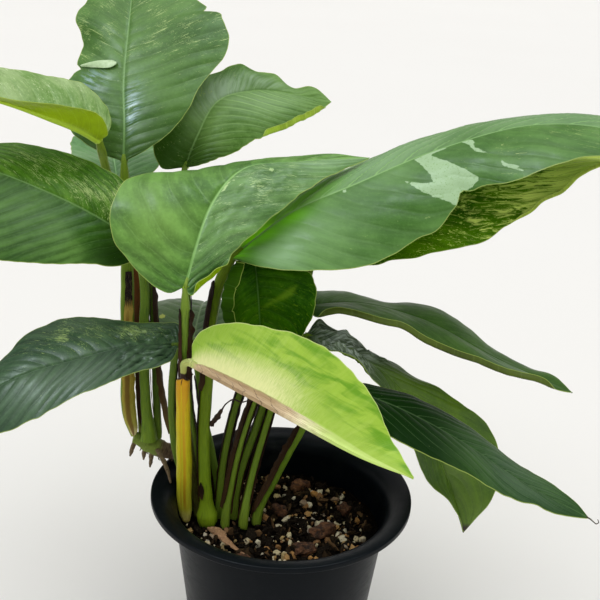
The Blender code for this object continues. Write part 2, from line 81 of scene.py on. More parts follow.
WATER_MARK = (0.12, 0.12, 0.11)

# Each blade has its midrib from base to tip, then its left and right margins without
# those two ends. Left is the left hand of someone who looks from base to tip along the
# upper side. Crown is how far each half bulges upwards, as a part of its width.
BLADES = {
    "crown": {
        "midrib": [(-89, 34, 289), (-90, 42, 306), (-93, 58, 326), (-94, 80, 350),
            (-96, 112, 374)],
        "left": [(-100, 37, 291.5), (-109.5, 40, 295.5), (-117.5, 45, 300.5), (-123.5, 50, 306.5),
            (-127.5, 56.5, 314.5), (-126, 63, 321), (-120.5, 70, 328), (-119, 77, 336.5),
            (-120, 84, 345), (-124, 91, 353.5), (-120.5, 97.5, 361), (-114.5, 104, 368),
            (-106.5, 108, 371.5)],
        "right": [(-78, 35.5, 295), (-69, 39, 301.5), (-62, 45, 308.5), (-57, 51.5, 316.5),
            (-53.5, 59, 324.5), (-48, 66, 331.5), (-42, 74, 339), (-40.5, 82.5, 347.5),
            (-45, 90, 356.5), (-54.5, 96, 362), (-63.5, 101.5, 367), (-73.5, 106, 370),
            (-84.5, 109, 372.5)],
        "crown": 0.06,
    },
    "back_left": {
        "midrib": [(-99, 22, 302), (-105, 17, 307), (-119, 7, 315), (-138, -8, 325),
            (-169, -28, 334)],
        "left": [(-93.5, 16.5, 306.5), (-94, 12.5, 313.5), (-97, 7.5, 319), (-101.5, 1.5, 321.5),
            (-106.5, -4.5, 323), (-112, -10, 324.5), (-118.5, -15, 326), (-124.5, -19, 327.5),
            (-131.5, -23, 329.5), (-138, -26.5, 332), (-145.5, -29, 333.5), (-153, -31, 334.5),
            (-161, -30.5, 335)],
        "right": [(-95, 30.5, 306.5), (-96.5, 36, 314), (-102.5, 38, 320.5), (-109.5, 37.5, 326),
            (-117.5, 33.5, 329), (-125.5, 29, 331), (-133, 24, 334), (-139.5, 18, 336),
            (-146, 12, 337.5), (-152, 4.5, 337.5), (-157, -3, 337.5), (-161.5, -11, 336.5),
            (-165.5, -19, 335.5)],
        "crown": 0.04,
    },
    "back_right": {
        "midrib": [(-61, 60, 281), (-54, 64, 299), (-46, 74, 314), (-26, 90, 319), (17, 100, 313)],
        "left": [(-73, 57, 281), (-77.5, 60, 290), (-77.5, 64.5, 300), (-74, 71, 308.5),
            (-68.5, 77.5, 315.5), (-62, 84, 321), (-53.5, 90.5, 325.5), (-44.5, 95.5, 328.5),
            (-34, 99.5, 331), (-23.5, 101, 327), (-13.5, 103.5, 325), (-4, 103.5, 319.5),
            (8, 104, 319.5)],
        "right": [(-54, 56.5, 283), (-48, 56, 285.5), (-41.5, 57, 288), (-35, 58.5, 290.5),
            (-29, 61, 294), (-24, 64.5, 297), (-18, 68, 299.5), (-12.5, 71.5, 301),
            (-7, 75.5, 302.5), (-2, 80, 305), (3.5, 84.5, 306.5), (8, 89, 308.5),
            (12.5, 94, 310.5)],
        "crown": 0.08,
    },
    "wide_left": {
        "midrib": [(-81, 4, 258), (-96, 0, 269), (-118, -6, 282), (-152, -15, 296),
            (-198, -36, 297)],
        "left": [(-78, -2.5, 249), (-86, -8.5, 247), (-95.5, -12.5, 249), (-106.5, -16.5, 250),
            (-117.5, -20, 250.5), (-128, -22.5, 252), (-138.5, -25.5, 253.5),
            (-149.5, -28.5, 255.5), (-159.5, -32, 259), (-169, -35, 264), (-177.5, -38.5, 271),
            (-185, -40, 279), (-191.5, -38.5, 287.5)],
        "right": [(-78, 14, 266), (-81, 21, 276.5), (-90, 24.5, 283.5), (-101.5, 25, 288.5),
            (-113, 23.5, 293), (-125, 21, 296.5), (-136.5, 18.5, 299), (-149, 15.5, 299.5),
            (-160, 11, 300), (-171, 4.5, 301), (-180.5, -3.5, 301), (-188, -13, 300.5),
            (-193, -24, 299)],
        "crown": 0.08,
    },
    "front": {
        "midrib": [(-50, -24, 244), (-46, -16, 261), (-40, -3, 279), (-27, 18, 292), (1, 36, 293),
            (38, 52, 293)],
        "left": [(-56.9, -24.5, 240.6), (-64, -23, 242.5), (-76, -20.5, 253), (-84.5, -20, 266),
            (-86.5, -14, 279), (-82, -2.5, 288), (-72, 8, 290.5), (-60, 18, 289), (-48, 27, 288),
            (-35, 35.5, 288), (-22, 43, 290), (-8, 47.5, 291.5), (7, 50, 293), (22, 51, 294)],
        "right": [(-47.5, -24.5, 241), (-43.6, -21.6, 244.4), (-38.5, -17.9, 247.6),
            (-34.4, -14.6, 251.2), (-29.7, -10.6, 256), (-24, -5, 262), (-18, -0.5, 266.5),
            (-11.5, 4.5, 271.5), (-5.5, 9.5, 275.5), (0, 15, 279.5), (6, 21.5, 282.5),
            (11.5, 28, 285), (17.5, 34.5, 287), (24, 40.5, 289), (31, 46, 291)],
        "crown": 0.08,
    },
    "long_right": {
        "midrib": [(-31, 15, 246), (-2, 25, 269), (30, 31, 284), (72, 33, 304), (119, 27, 320),
            (153, 14, 321), (187, 0, 307)],
        "left": [(-36, 32.5, 253.5), (-20, 44.5, 264.5), (-3.5, 53.5, 273.5), (15, 59.5, 280.5),
            (34.5, 63.5, 287.5), (53, 66.5, 296), (72.5, 68, 303.5), (92, 66.5, 309.5),
            (111.5, 63, 315), (130.5, 55.5, 318.5), (148.5, 45, 322), (163, 31.5, 321),
            (175.5, 15.5, 315.5)],
        "right": [(-19, 2, 247.5), (-1, -1, 247), (16.5, -1.5, 248), (34, 1.5, 249.5),
            (50, 5, 255.5), (63.5, 8, 266), (76, 10, 278), (90, 8.5, 287.5), (105, 5, 295.5),
            (120.5, 2.5, 304), (136, 0.5, 310.5), (153, -3, 312.5), (170, -3.5, 311)],
        "crown": 0.08,
    },
    "under_right": {
        "midrib": [(10, 35, 236), (33, 45, 252), (71, 52, 276), (122, 50, 295), (175, 38, 303)],
        "left": [(9.5, 51.5, 239), (17.5, 63.5, 246.5), (29, 72.5, 255), (41.5, 79.5, 261.5),
            (55.5, 84.5, 267), (71, 87, 272.5), (86, 88, 278), (101, 88, 283), (116.5, 86, 288.5),
            (131, 81.5, 293), (144.5, 74, 297), (157, 64.5, 300.5), (167, 52.5, 302.5)],
        "right": [(21.5, 28, 238.5), (34, 26, 241), (47.5, 25, 244.5), (60, 24, 247.5),
            (72.5, 24, 251), (85.5, 24, 255), (98, 24.5, 258.5), (108, 25.5, 267),
            (118.5, 26, 274.5), (129, 26.5, 282.5), (140, 27, 290.5), (149.5, 30, 298.5),
            (162, 33.5, 301)],
        "crown": 0.06,
    },
    "hanging": {
        "midrib": [(-19, 14, 245), (-17, 9, 232), (-15, 8, 212), (-13, 11, 176)],
        "left": [(-10.5, 13.5, 246), (-3, 13, 246), (4, 10.5, 245), (9.5, 7.5, 242),
            (12.5, 5.5, 235.5), (13, 3.5, 228), (11.5, 3.5, 221), (8.5, 3.5, 214), (6, 4, 207),
            (3, 5, 200.5), (0, 6, 193.5), (-3.5, 7.5, 187.5), (-8, 9, 182)],
        "right": [(-26, 12.5, 245), (-30, 9, 242.5), (-32, 5.5, 237.5), (-33.5, 4.5, 231.5),
            (-34, 4, 225.5), (-33.5, 4, 219.5), (-31.5, 4, 213.5), (-29.5, 4, 208),
            (-28, 4.5, 202), (-26, 5.5, 196.5), (-23.5, 7, 191), (-20.5, 8, 186), (-17, 9.5, 181)],
        "crown": 0.04,
    },
    "right_back": {
        "midrib": [(7, 30, 216), (32, 38, 216), (71, 40, 208), (116, 34, 188), (156, 24, 175)],
        "left": [(6.5, 44, 217), (17, 52.5, 216), (29, 58, 214.5), (41.5, 61, 211),
            (54, 62, 207.5), (67.5, 62, 208.5), (80.5, 60.5, 207), (92, 58.5, 202),
            (103, 55.5, 195.5), (113.5, 51.5, 188), (125, 47, 183.5), (136.5, 41, 180.5),
            (147.5, 34.5, 180)],
        "right": [(14, 20.5, 213.5), (25, 18.5, 217), (36.5, 17, 216), (47.5, 17, 213),
            (59, 18, 210), (69, 17.5, 204.5), (79.5, 18.5, 200), (90, 19.5, 195.5), (101, 20, 192),
            (112, 20, 188), (123, 20, 185), (134, 20.5, 182.5), (144.5, 22, 178)],
        "crown": 0.06,
    },
    "right_low": {
        "midrib": [(9, 20, 203), (31, 26, 193), (54, 30, 178), (77, 32, 146), (94, 28, 115),
            (105, 18, 86)],
        "left": [(16, 32.5, 207.5), (26, 36.5, 199.5), (39, 39.5, 192), (50.5, 41, 183),
            (63.5, 42, 177), (76, 41.5, 170), (89, 40.5, 164), (101.5, 39, 156),
            (113, 37.5, 147.5), (120.5, 34.5, 136), (123.5, 31, 122), (122, 27, 108.5),
            (114.5, 22.5, 97.5)],
        "right": [(16, 12.5, 200), (27, 16, 196), (37.5, 19, 189.5), (45.5, 20.5, 181),
            (52.5, 22.5, 172.5), (58, 24.5, 162.5), (63, 25.5, 152), (68.5, 26, 142),
            (74, 24.5, 132.5), (79, 22.5, 122.5), (85.5, 20.5, 113), (95, 18.5, 106.5),
            (101.5, 18, 97.5)],
        "crown": 0.05,
    },
    "right_front": {
        "midrib": [(34, -10, 187), (59, -6, 176), (92, -8, 160), (130, -14, 138), (162, -20, 124)],
        "left": [(38.5, 1.5, 185), (46.5, 7.5, 181), (57.5, 11.5, 177.5), (67.5, 14, 174),
            (78.5, 14.5, 169), (88.5, 14, 164), (98.5, 12.5, 158.5), (107.5, 10.5, 152),
            (117, 7, 146), (126.5, 3, 141), (136, -1.5, 137.5), (145.5, -6.5, 134),
            (154.5, -12.5, 130)],
        "right": [(36, -22, 185), (42.5, -27.5, 179), (52, -29, 172.5), (62, -30.5, 168),
            (72, -31.5, 163.5), (82, -32, 159), (92, -31.5, 154), (101.5, -30.5, 148.5),
            (111, -29.5, 143), (120.5, -27.5, 138), (131, -25.5, 134.5), (140.5, -24, 129.5),
            (151, -22, 126)],
        "crown": 0.07,
    },
    "left_low": {
        "midrib": [(-57, 4, 201), (-79, -4, 203), (-104, -12, 198), (-135, -22, 190),
            (-160, -30, 174)],
        "left": [(-59, -5, 196.5), (-64.5, -10, 195), (-73.5, -13.5, 193.5), (-81.5, -18, 192),
            (-89, -22.5, 190), (-96.5, -26.5, 187.5), (-104.5, -30, 185), (-112, -33.5, 181.5),
            (-119.5, -37, 177.5), (-127.5, -38.5, 173.5), (-136, -39.5, 169.5),
            (-144.5, -38, 167.5), (-152, -34.5, 170)],
        "right": [(-57.5, 12, 208), (-66.5, 13.5, 209), (-78.5, 13, 208), (-88.5, 13, 208.5),
            (-98.5, 13, 209.5), (-108.5, 12, 210.5), (-118, 10, 210), (-127, 6, 207),
            (-134.5, 1, 203), (-140.5, -5, 197.5), (-146.5, -11, 192), (-153, -16.5, 187),
            (-157.5, -23, 181)],
        "crown": 0.06,
    },
    "yellow": {
        "midrib": [(-48, -16, 201), (-17, -27, 189.5), (11, -34, 177.5), (41, -40, 164.5),
            (65, -42, 156)],
        "left": [(-45, -5, 203), (-36.5, -4, 209), (-26.5, -5.5, 213), (-16, -6.5, 211.5),
            (-5.5, -8, 207.5), (4, -10, 204), (13.5, -12.5, 199.5), (22.5, -15, 194),
            (30.5, -18, 188), (37, -21.5, 180), (43, -25, 172), (49, -30, 165), (56, -36, 159.5)],
        "right": [(-46.5, -17, 213), (-38, -17, 221), (-27.5, -17.5, 223.5), (-15.5, -18, 223),
            (-4, -18.5, 221.5), (7, -19.5, 219), (17.5, -20.5, 214.5), (26.5, -21.5, 208),
            (35, -23, 200), (42, -25, 192), (48, -27.5, 182), (53, -31, 172.5), (59, -36, 164.5)],
        "crown": -0.06,
    },
    "back_low": {
        "midrib": [(-53, 33, 190), (-53, 52, 192), (-53, 82, 193), (-53, 125, 173),
            (-52, 152, 150)],
        "left": [(-63.5, 35.5, 186), (-70.5, 44, 186.5), (-76, 53.5, 187), (-79, 64, 188),
            (-80.5, 74.5, 189), (-81.5, 85.5, 189), (-81, 96, 187.5), (-79, 105.5, 183),
            (-77, 115.5, 179.5), (-74, 124, 174), (-70, 132, 168), (-65.5, 139, 161.5),
            (-59, 145.5, 155.5)],
        "right": [(-43, 36, 187.5), (-38.5, 45.5, 187.5), (-35.5, 56, 188), (-33.5, 66, 189.5),
            (-32.5, 76, 191), (-32, 86, 190.5), (-32, 96, 188.5), (-33, 105.5, 184.5),
            (-34, 114.5, 180), (-36.5, 123, 175), (-39.5, 131, 169), (-43, 138.5, 163),
            (-47, 145.5, 157)],
        "crown": 0.06,
    },
    "far_back": {
        "midrib": [(-98, 62, 267), (-103, 84, 270), (-111, 118, 272), (-118, 152, 272)],
        "left": [(-106.5, 65.5, 268), (-113, 70, 269.5), (-119.5, 75, 271.5), (-124.5, 80.5, 273),
            (-128.5, 87, 274.5), (-131, 94.5, 275.5), (-132, 102, 275.5), (-134, 110, 275.5),
            (-136, 118.5, 276.5), (-137, 127.5, 279), (-134, 135, 278), (-130, 141.5, 275.5),
            (-124.5, 146.5, 274)],
        "right": [(-90, 66, 269), (-84.5, 71.5, 271.5), (-80.5, 79, 273.5), (-78.5, 86.5, 275.5),
            (-78, 94.5, 276.5), (-79.5, 102.5, 277.5), (-81.5, 110.5, 278), (-84.5, 118, 278),
            (-88, 125.5, 278.5), (-92.5, 132.5, 278), (-98, 139, 277), (-104, 143.5, 276),
            (-110.5, 148, 274)],
        "crown": 0.06,
    },
}

STATIONS = 110
RIBS = 26
ROLL_RIBS = 7
RIB_CROWDING = 1.35
RIB_SWEEP = 1.2
BASE_HALF_WIDTH = 1.2
TIP_HALF_WIDTH = 0.5
LEAF_THICKNESS = 0.45
MARGIN_THICKNESS = 0.28
ROLL_RADIUS = 0.9
EDGE_BLUR = 4

# Each stalk has where its foot stands, the route up to its blade, its radius at the foot
# and its widest radius.
STALKS = {
    "crown": {
        "foot": (-84.5, 23, 135.2),
        "route": [(-86.5, 24, 148), (-87.8, 28, 180), (-88, 33, 230), (-88, 34, 262)],
        "foot_radius": 3.1, "radius": 3.8,
    },
    "back_left": {
        "foot": (-80, 27, 134.4),
        "route": [(-81.5, 31, 155), (-83.5, 38, 190), (-85, 41, 230), (-95, 38, 268),
            (-99, 32, 290)],
        "foot_radius": 1.9, "radius": 2.6,
    },
    "wide_left": {
        "foot": (-75.5, 22, 134.0),
        "route": [(-77, 24, 150), (-79, 29, 190), (-78, 27, 225), (-79, 16, 246)],
        "foot_radius": 3.3, "radius": 2.9,
    },
    "far_back": {
        "foot": (-71, 26, 133.0),
        "route": [(-72.5, 31, 155), (-74.5, 37, 190), (-78, 41, 225), (-86, 48, 250)],
        "foot_radius": 2.5, "radius": 2.1,
    },
    "back_right": {
        "foot": (-42, 13, SOIL_TOP),
        "route": [(-48, 15, 130), (-53, 14, 165), (-54, 15, 200), (-55, 22, 225), (-57, 36, 255),
            (-60, 53, 275)],
        "foot_radius": 2.4, "radius": 2.4,
    },
    "front": {
        "foot": (-46, 6, SOIL_TOP),
        "route": [(-50, 6, 130), (-52.3, -1, 160), (-52.3, -6, 180), (-52, -9, 200),
            (-51, -15, 222)],
        "foot_radius": 2.6, "radius": 2.8,
    },
    "long_right": {
        "foot": (-40, -2, SOIL_TOP),
        "route": [(-42, 0, 125), (-43, 3, 150), (-42, 6, 180), (-41, 12, 210), (-37, 17, 232)],
        "foot_radius": 5.2, "radius": 3.5,
    },
    "under_right": {
        "foot": (-30, -4, SOIL_TOP),
        "route": [(-28, 0, 120), (-21, 7, 155), (-12, 15, 180), (-3, 20, 198), (3, 22, 215),
            (7, 28, 227)],
        "foot_radius": 2.6, "radius": 2.5,
    },
    "hanging": {
        "foot": (-34, 6, SOIL_TOP),
        "route": [(-33, 12, 125), (-28, 20, 155), (-20, 27, 185), (-16, 29, 215), (-15, 26, 238),
            (-17, 20, 247)],
        "foot_radius": 2.4, "radius": 2.3,
    },
    "right_back": {
        "foot": (-26, 5, SOIL_TOP),
        "route": [(-24, 8, 120), (-15, 17, 150), (-7, 25, 178), (0, 31, 203)],
        "foot_radius": 2.5, "radius": 2.4,
    },
    "right_low": {
        "foot": (-20, -3, SOIL_TOP),
        "route": [(-17, 4, 120), (-10, 13, 150), (-3, 21, 176), (3, 23, 193)],
        "foot_radius": 2.7, "radius": 2.5,
    },
    "right_front": {
        "foot": (-13, 1, SOIL_TOP),
        "route": [(-4, 3, 125), (6, 1, 150), (17, -3, 173), (27, -8, 184)],
        "foot_radius": 2.9, "radius": 2.6,
    },
    "left_low": {
        "foot": (-49.5, 12, SOIL_TOP),
        "route": [(-50.5, 12.5, 110), (-57, 13, 124), (-61, 12, 150), (-61, 11, 175),
            (-59, 8, 193)],
        "foot_radius": 2.2, "radius": 2.2,
    },
    "yellow": {
        "foot": (-51, 0, SOIL_TOP),
        "route": [(-52, -3, 120), (-52.5, -6, 145), (-52.5, -10, 176), (-52, -13, 194),
            (-51, -15, 199.5)],
        "foot_radius": 3.0, "radius": 4.4,
    },
    "back_low": {
        "foot": (-36, 20, SOIL_TOP),
        "route": [(-40, 23, 125), (-46, 28, 150), (-50, 32, 175)],
        "foot_radius": 2.2, "radius": 2.1,
    },
}

STRAIGHT_FOOT = 3.0
STALK_SIDES = 22
STALK_STATIONS = 110
MARGIN_STATIONS = 60
SHORT_SCAR = 0.1
STALK_KNOTS = [0.0, 0.02, 0.045, 0.07, 0.10, 0.6, 0.90, 0.95, 0.985, 1.02]
# Stalks with a foot of their own: the fraction that it reaches, then fractions and radii.
STALK_FEET = {
    "crown": (0.16, [0.0, 0.02, 0.05, 0.10], [1.4, 2.5, 3.3, 3.8]),
    "wide_left": (0.20, [0.0, 0.04, 0.10, 0.20], [4.7, 4.1, 3.2, 2.85]),
    "long_right": (0.0, [0.0, 1.0], [0.0, 0.0]),
    "yellow": (2.0, [0.0, 0.02, 0.05, 0.08, 0.12, 0.6, 0.858, 0.872, 0.92, 0.96, 1.02],
               [1.3, 2.6, 3.5, 3.9, 4.1, 3.9, 3.4, 1.5, 1.5, 1.9, 1.9]),
}

# The creeping stem on the left climbs out of the pot, over the rim, to its own stalks.
CREEPING_STEM = [(-45, 24, SOIL_TOP + SEAT_GAP), (-45, 24, 102), (-46, 24.5, 111),
                 (-50, 25, 118.5), (-57, 26, 123.5), (-63.5, 26, 124.8), (-69, 25, 126.8),
                 (-74, 24.5, 129.2), (-79, 24.5, 131.8), (-84, 24, 134.0)]
CREEPING_STEM_RADII = [3.0, 3.0, 3.1, 3.2, 3.3, 3.5, 4.4, 5.0, 4.7, 3.0]
CREEPING_STEM_STATIONS, CREEPING_STEM_SIDES = 120, 26
SCAR_SPACING, SCAR_HALF_WIDTH = 8.5, 0.7
CREEPING_STEM_COLOURS = [(0.24, 0.16, 0.09), (0.085, 0.05, 0.03), (0.20, 0.29, 0.035)]
# Small root tips under the stem: fraction along it, angle round it and length.
ROOT_HOOKS = [(0.93, 200, 3.0), (0.88, 160, 2.6), (0.80, 190, 3.4), (0.74, 150, 2.4),
              (0.66, 210, 3.2), (0.60, 170, 2.6), (0.52, 200, 2.4)]
AERIAL_ROOTS = {
    "aerial_root_left": [(-83.2, 24, 132.5), (-84.5, 22, 129.2), (-86.1, 21, 123.5)],
    "aerial_root_middle": [(-74.2, 24, 127.5), (-74.5, 22.6, 121.2), (-75.1, 22, 116.4)],
    "aerial_root_right": [(-78.0, 24, 129.8), (-78.4, 22.6, 124.5), (-78.7, 22, 121)],
    "aerial_root_over_rim": [(-71.5, 23.5, 127.5), (-69.5, 18.5, 128.8), (-67.0, 14, 127.6),
                             (-62.6, 6, 123.5), (-60.3, 0, 120.4)],
}
AERIAL_ROOT_RADII = [1.5, 1.25, 1.3, 1.0, 0.5]
ROOT_BROWNS = ((0.26, 0.185, 0.095), (0.085, 0.052, 0.024))
DEAD_TWIG = [(-39.4, 3.6, 155.5), (-36, 1.5, 161), (-33.5, 0.5, 166)]
DEAD_TWIG_RADII = [1.5, 1.2, 1.5, 0.8]
TWIG_BROWNS = ((0.09, 0.05, 0.03), (0.025, 0.014, 0.010))
DRY_THREAD = [(-33.7, 0.6, 165.6), (-31.0, 1.4, 169.8), (-27.5, 2.2, 171.8),
              (-23.0, 2.0, 170.6), (-18.8, 2.2, 172.1)]
DRY_THREAD_RADII = [0.5, 0.35, 0.4, 0.25]
# The tan strip's line: X, Y and height above the mix.
TAN_STRIP = [(-39, -9, 2.4), (-34, -13, 3.4), (-25, -23, 2.2), (-15, -32, 1.4)]
TAN_STRIP_RADII = [0.9, 3.2, 2.2, 1.3, 0.8]
TAN_BROWNS = ((0.52, 0.30, 0.15), (0.30, 0.15, 0.07))
# The hooked tip of right_front: how far past the leaf's tip, and how far up.
TENDRIL_HOOK = [(-2.0, 0), (0, 0), (2.2, -0.6), (4.2, -0.9), (5.2, 0.6), (4.4, 1.9)]
TENDRIL_RADII = [0.45, 0.4, 0.32, 0.28, 0.24, 0.2]
TENDRIL_BROWNS = ((0.12, 0.09, 0.04), (0.03, 0.02, 0.012))
# The fold on the crown leaf: where it starts between rib and margin and how far in it reaches,
# then its two edges, as fractions along the leaf, from margin to rib.
FOLD_START, FOLD_REACH = 0.93, 0.79
FOLD_ROWS, FOLD_COLUMNS = 9, 30
FOLD_KNOTS = [0, 0.1, 0.35, 0.6, 0.8, 0.93, 1]
FOLD_UPPER = [0.510, 0.514, 0.521, 0.529, 0.534, 0.533, 0.527]
FOLD_LOWER = [0.505, 0.503, 0.497, 0.490, 0.491, 0.503, 0.519]
FOLD_HALF_THICKNESS = 0.16
FOLD_GREENS = ((0.44, 0.60, 0.32), (0.62, 0.78, 0.50))

# Bark chunks lie on the mix: middle, size along X, Y and Z, and turn in degrees.
BARK_CHUNKS = [
    {"at": (24, -6), "size": (14, 9, 6), "turn": 25},
    {"at": (-1, 12), "size": (10, 7, 5), "turn": -30},
    {"at": (13, -24), "size": (12, 8, 5), "turn": 10},
    {"at": (36, 16), "size": (9, 7, 5), "turn": 60},
    {"at": (-18, -38), "size": (11, 7, 5), "turn": -15},
    {"at": (10, 38), "size": (12, 8, 6), "turn": 40},
]
BARK_BROWNS = ((0.016, 0.007, 0.003), (0.150, 0.060, 0.022))
BARK_FIBRE = (0.26, 0.13, 0.060)
MIX_BROWNS = ((0.0012, 0.0008, 0.0005), (0.0075, 0.0045, 0.0025))
MIX_SPECK = (0.09, 0.06, 0.03)

# Loose grains: how far each kind is stretched along its own axes, and their tones.
ROUND_GRAINS = [(1.0, 0.85, 0.8), (1.1, 0.8, 0.7), (0.9, 0.95, 0.85), (1.2, 0.75, 0.7),
                (1.0, 0.9, 0.6)]
FLAKES = [(1.6, 0.7, 0.35), (1.3, 0.9, 0.4), (2.1, 0.45, 0.35), (1.1, 1.0, 0.5)]
FIBRES = [(3.6, 0.16, 0.16), (2.8, 0.2, 0.14), (4.2, 0.13, 0.12)]
PUMICE_TONES = [(0.0, (0.70, 0.59, 0.33)), (0.25, (0.76, 0.68, 0.48)), (0.42, (0.50, 0.36, 0.14)),
                (0.62, (0.50, 0.24, 0.06)), (0.82, (0.26, 0.13, 0.045)), (1.0, (0.74, 0.68, 0.52))]
CRUMB_TONES = [(0.0, (0.0015, 0.0010, 0.0006)), (0.66, (0.006, 0.0035, 0.002)),
               (0.86, (0.045, 0.026, 0.011)), (1.0, (0.17, 0.095, 0.042))]

# What each leaf adds to its plain blade. Side is "left" or "right", and along and share run
# from 0 to 1, from base to tip and from midrib to margin. Two numbers in brackets are for the
# left and the right half. A bell-shaped spot is side, along, share and its half sizes.
# Shape:
#   veins, sweep: how many side veins, and how far on along the leaf each meets the margin
#   quilt, groove: how far the leaf rises between its veins, and sinks at its midrib
#   nicks: side, along, half width along, depth of a dent in the margin (less than 0 is a lobe)
#   rolls: side, start, end, width and turn of a rolled margin
#   waves: side, count, height and phase of the margin's waves
#   crinkle: start, end and height of sharp creases, on one side if it is named
# Green:
#   bands, fine: how dark the painted shade in the grooves along the side veins is, and how
#     strong streaks and mottle
#   painted_shade_foot: start and depth of a darker foot, which is painted shade
#   tint: what the left and right halves are multiplied by; on long_right the paler, bluer
#     left half is a painted sheen
#   bloom: spots of painted sheen, with their strength (less than 0 is painted shade); silver
#     is their colour, and mist how they break up
#   painted_light_and_gloss: spots of painted light, with their strength; lit is their colour
#   rib, pale_veins, vein_width: how pale the midrib and the side veins are, and how wide
# Variegation:
#   fleck: how thickly the whole leaf is flecked; fleck_spots: spots with more, thick in all
#   dash, thin: length and fineness of the dashes; dots: strength of short crisp ones
#   marble, marbling: where the marbling starts, then its scale and its gain towards the tip
#   patches: side and outline (along, share) of pale patches; soft blurs them
# Surface:
#   gloss, sheen: roughness limits, and spots that are glossier
#   shine, under_shine: specular level above and below; relief: height of the veins
#   tip: a dead brown tip
LEAF_DEFAULTS = {
    "painted_vein_shade": 0.28, "fine": 0.6, "mist": (0.30, 0.68, 0.35), "rib": 0.6, "pale_veins": 0.12,
    "vein_width": 0.15, "dash": 0.065, "thin": 8, "marbling": (3.2, 0.16),
    "gloss": (0.34, 0.48), "shine": 0.22, "under_shine": 0.28, "relief": 0.12,
}
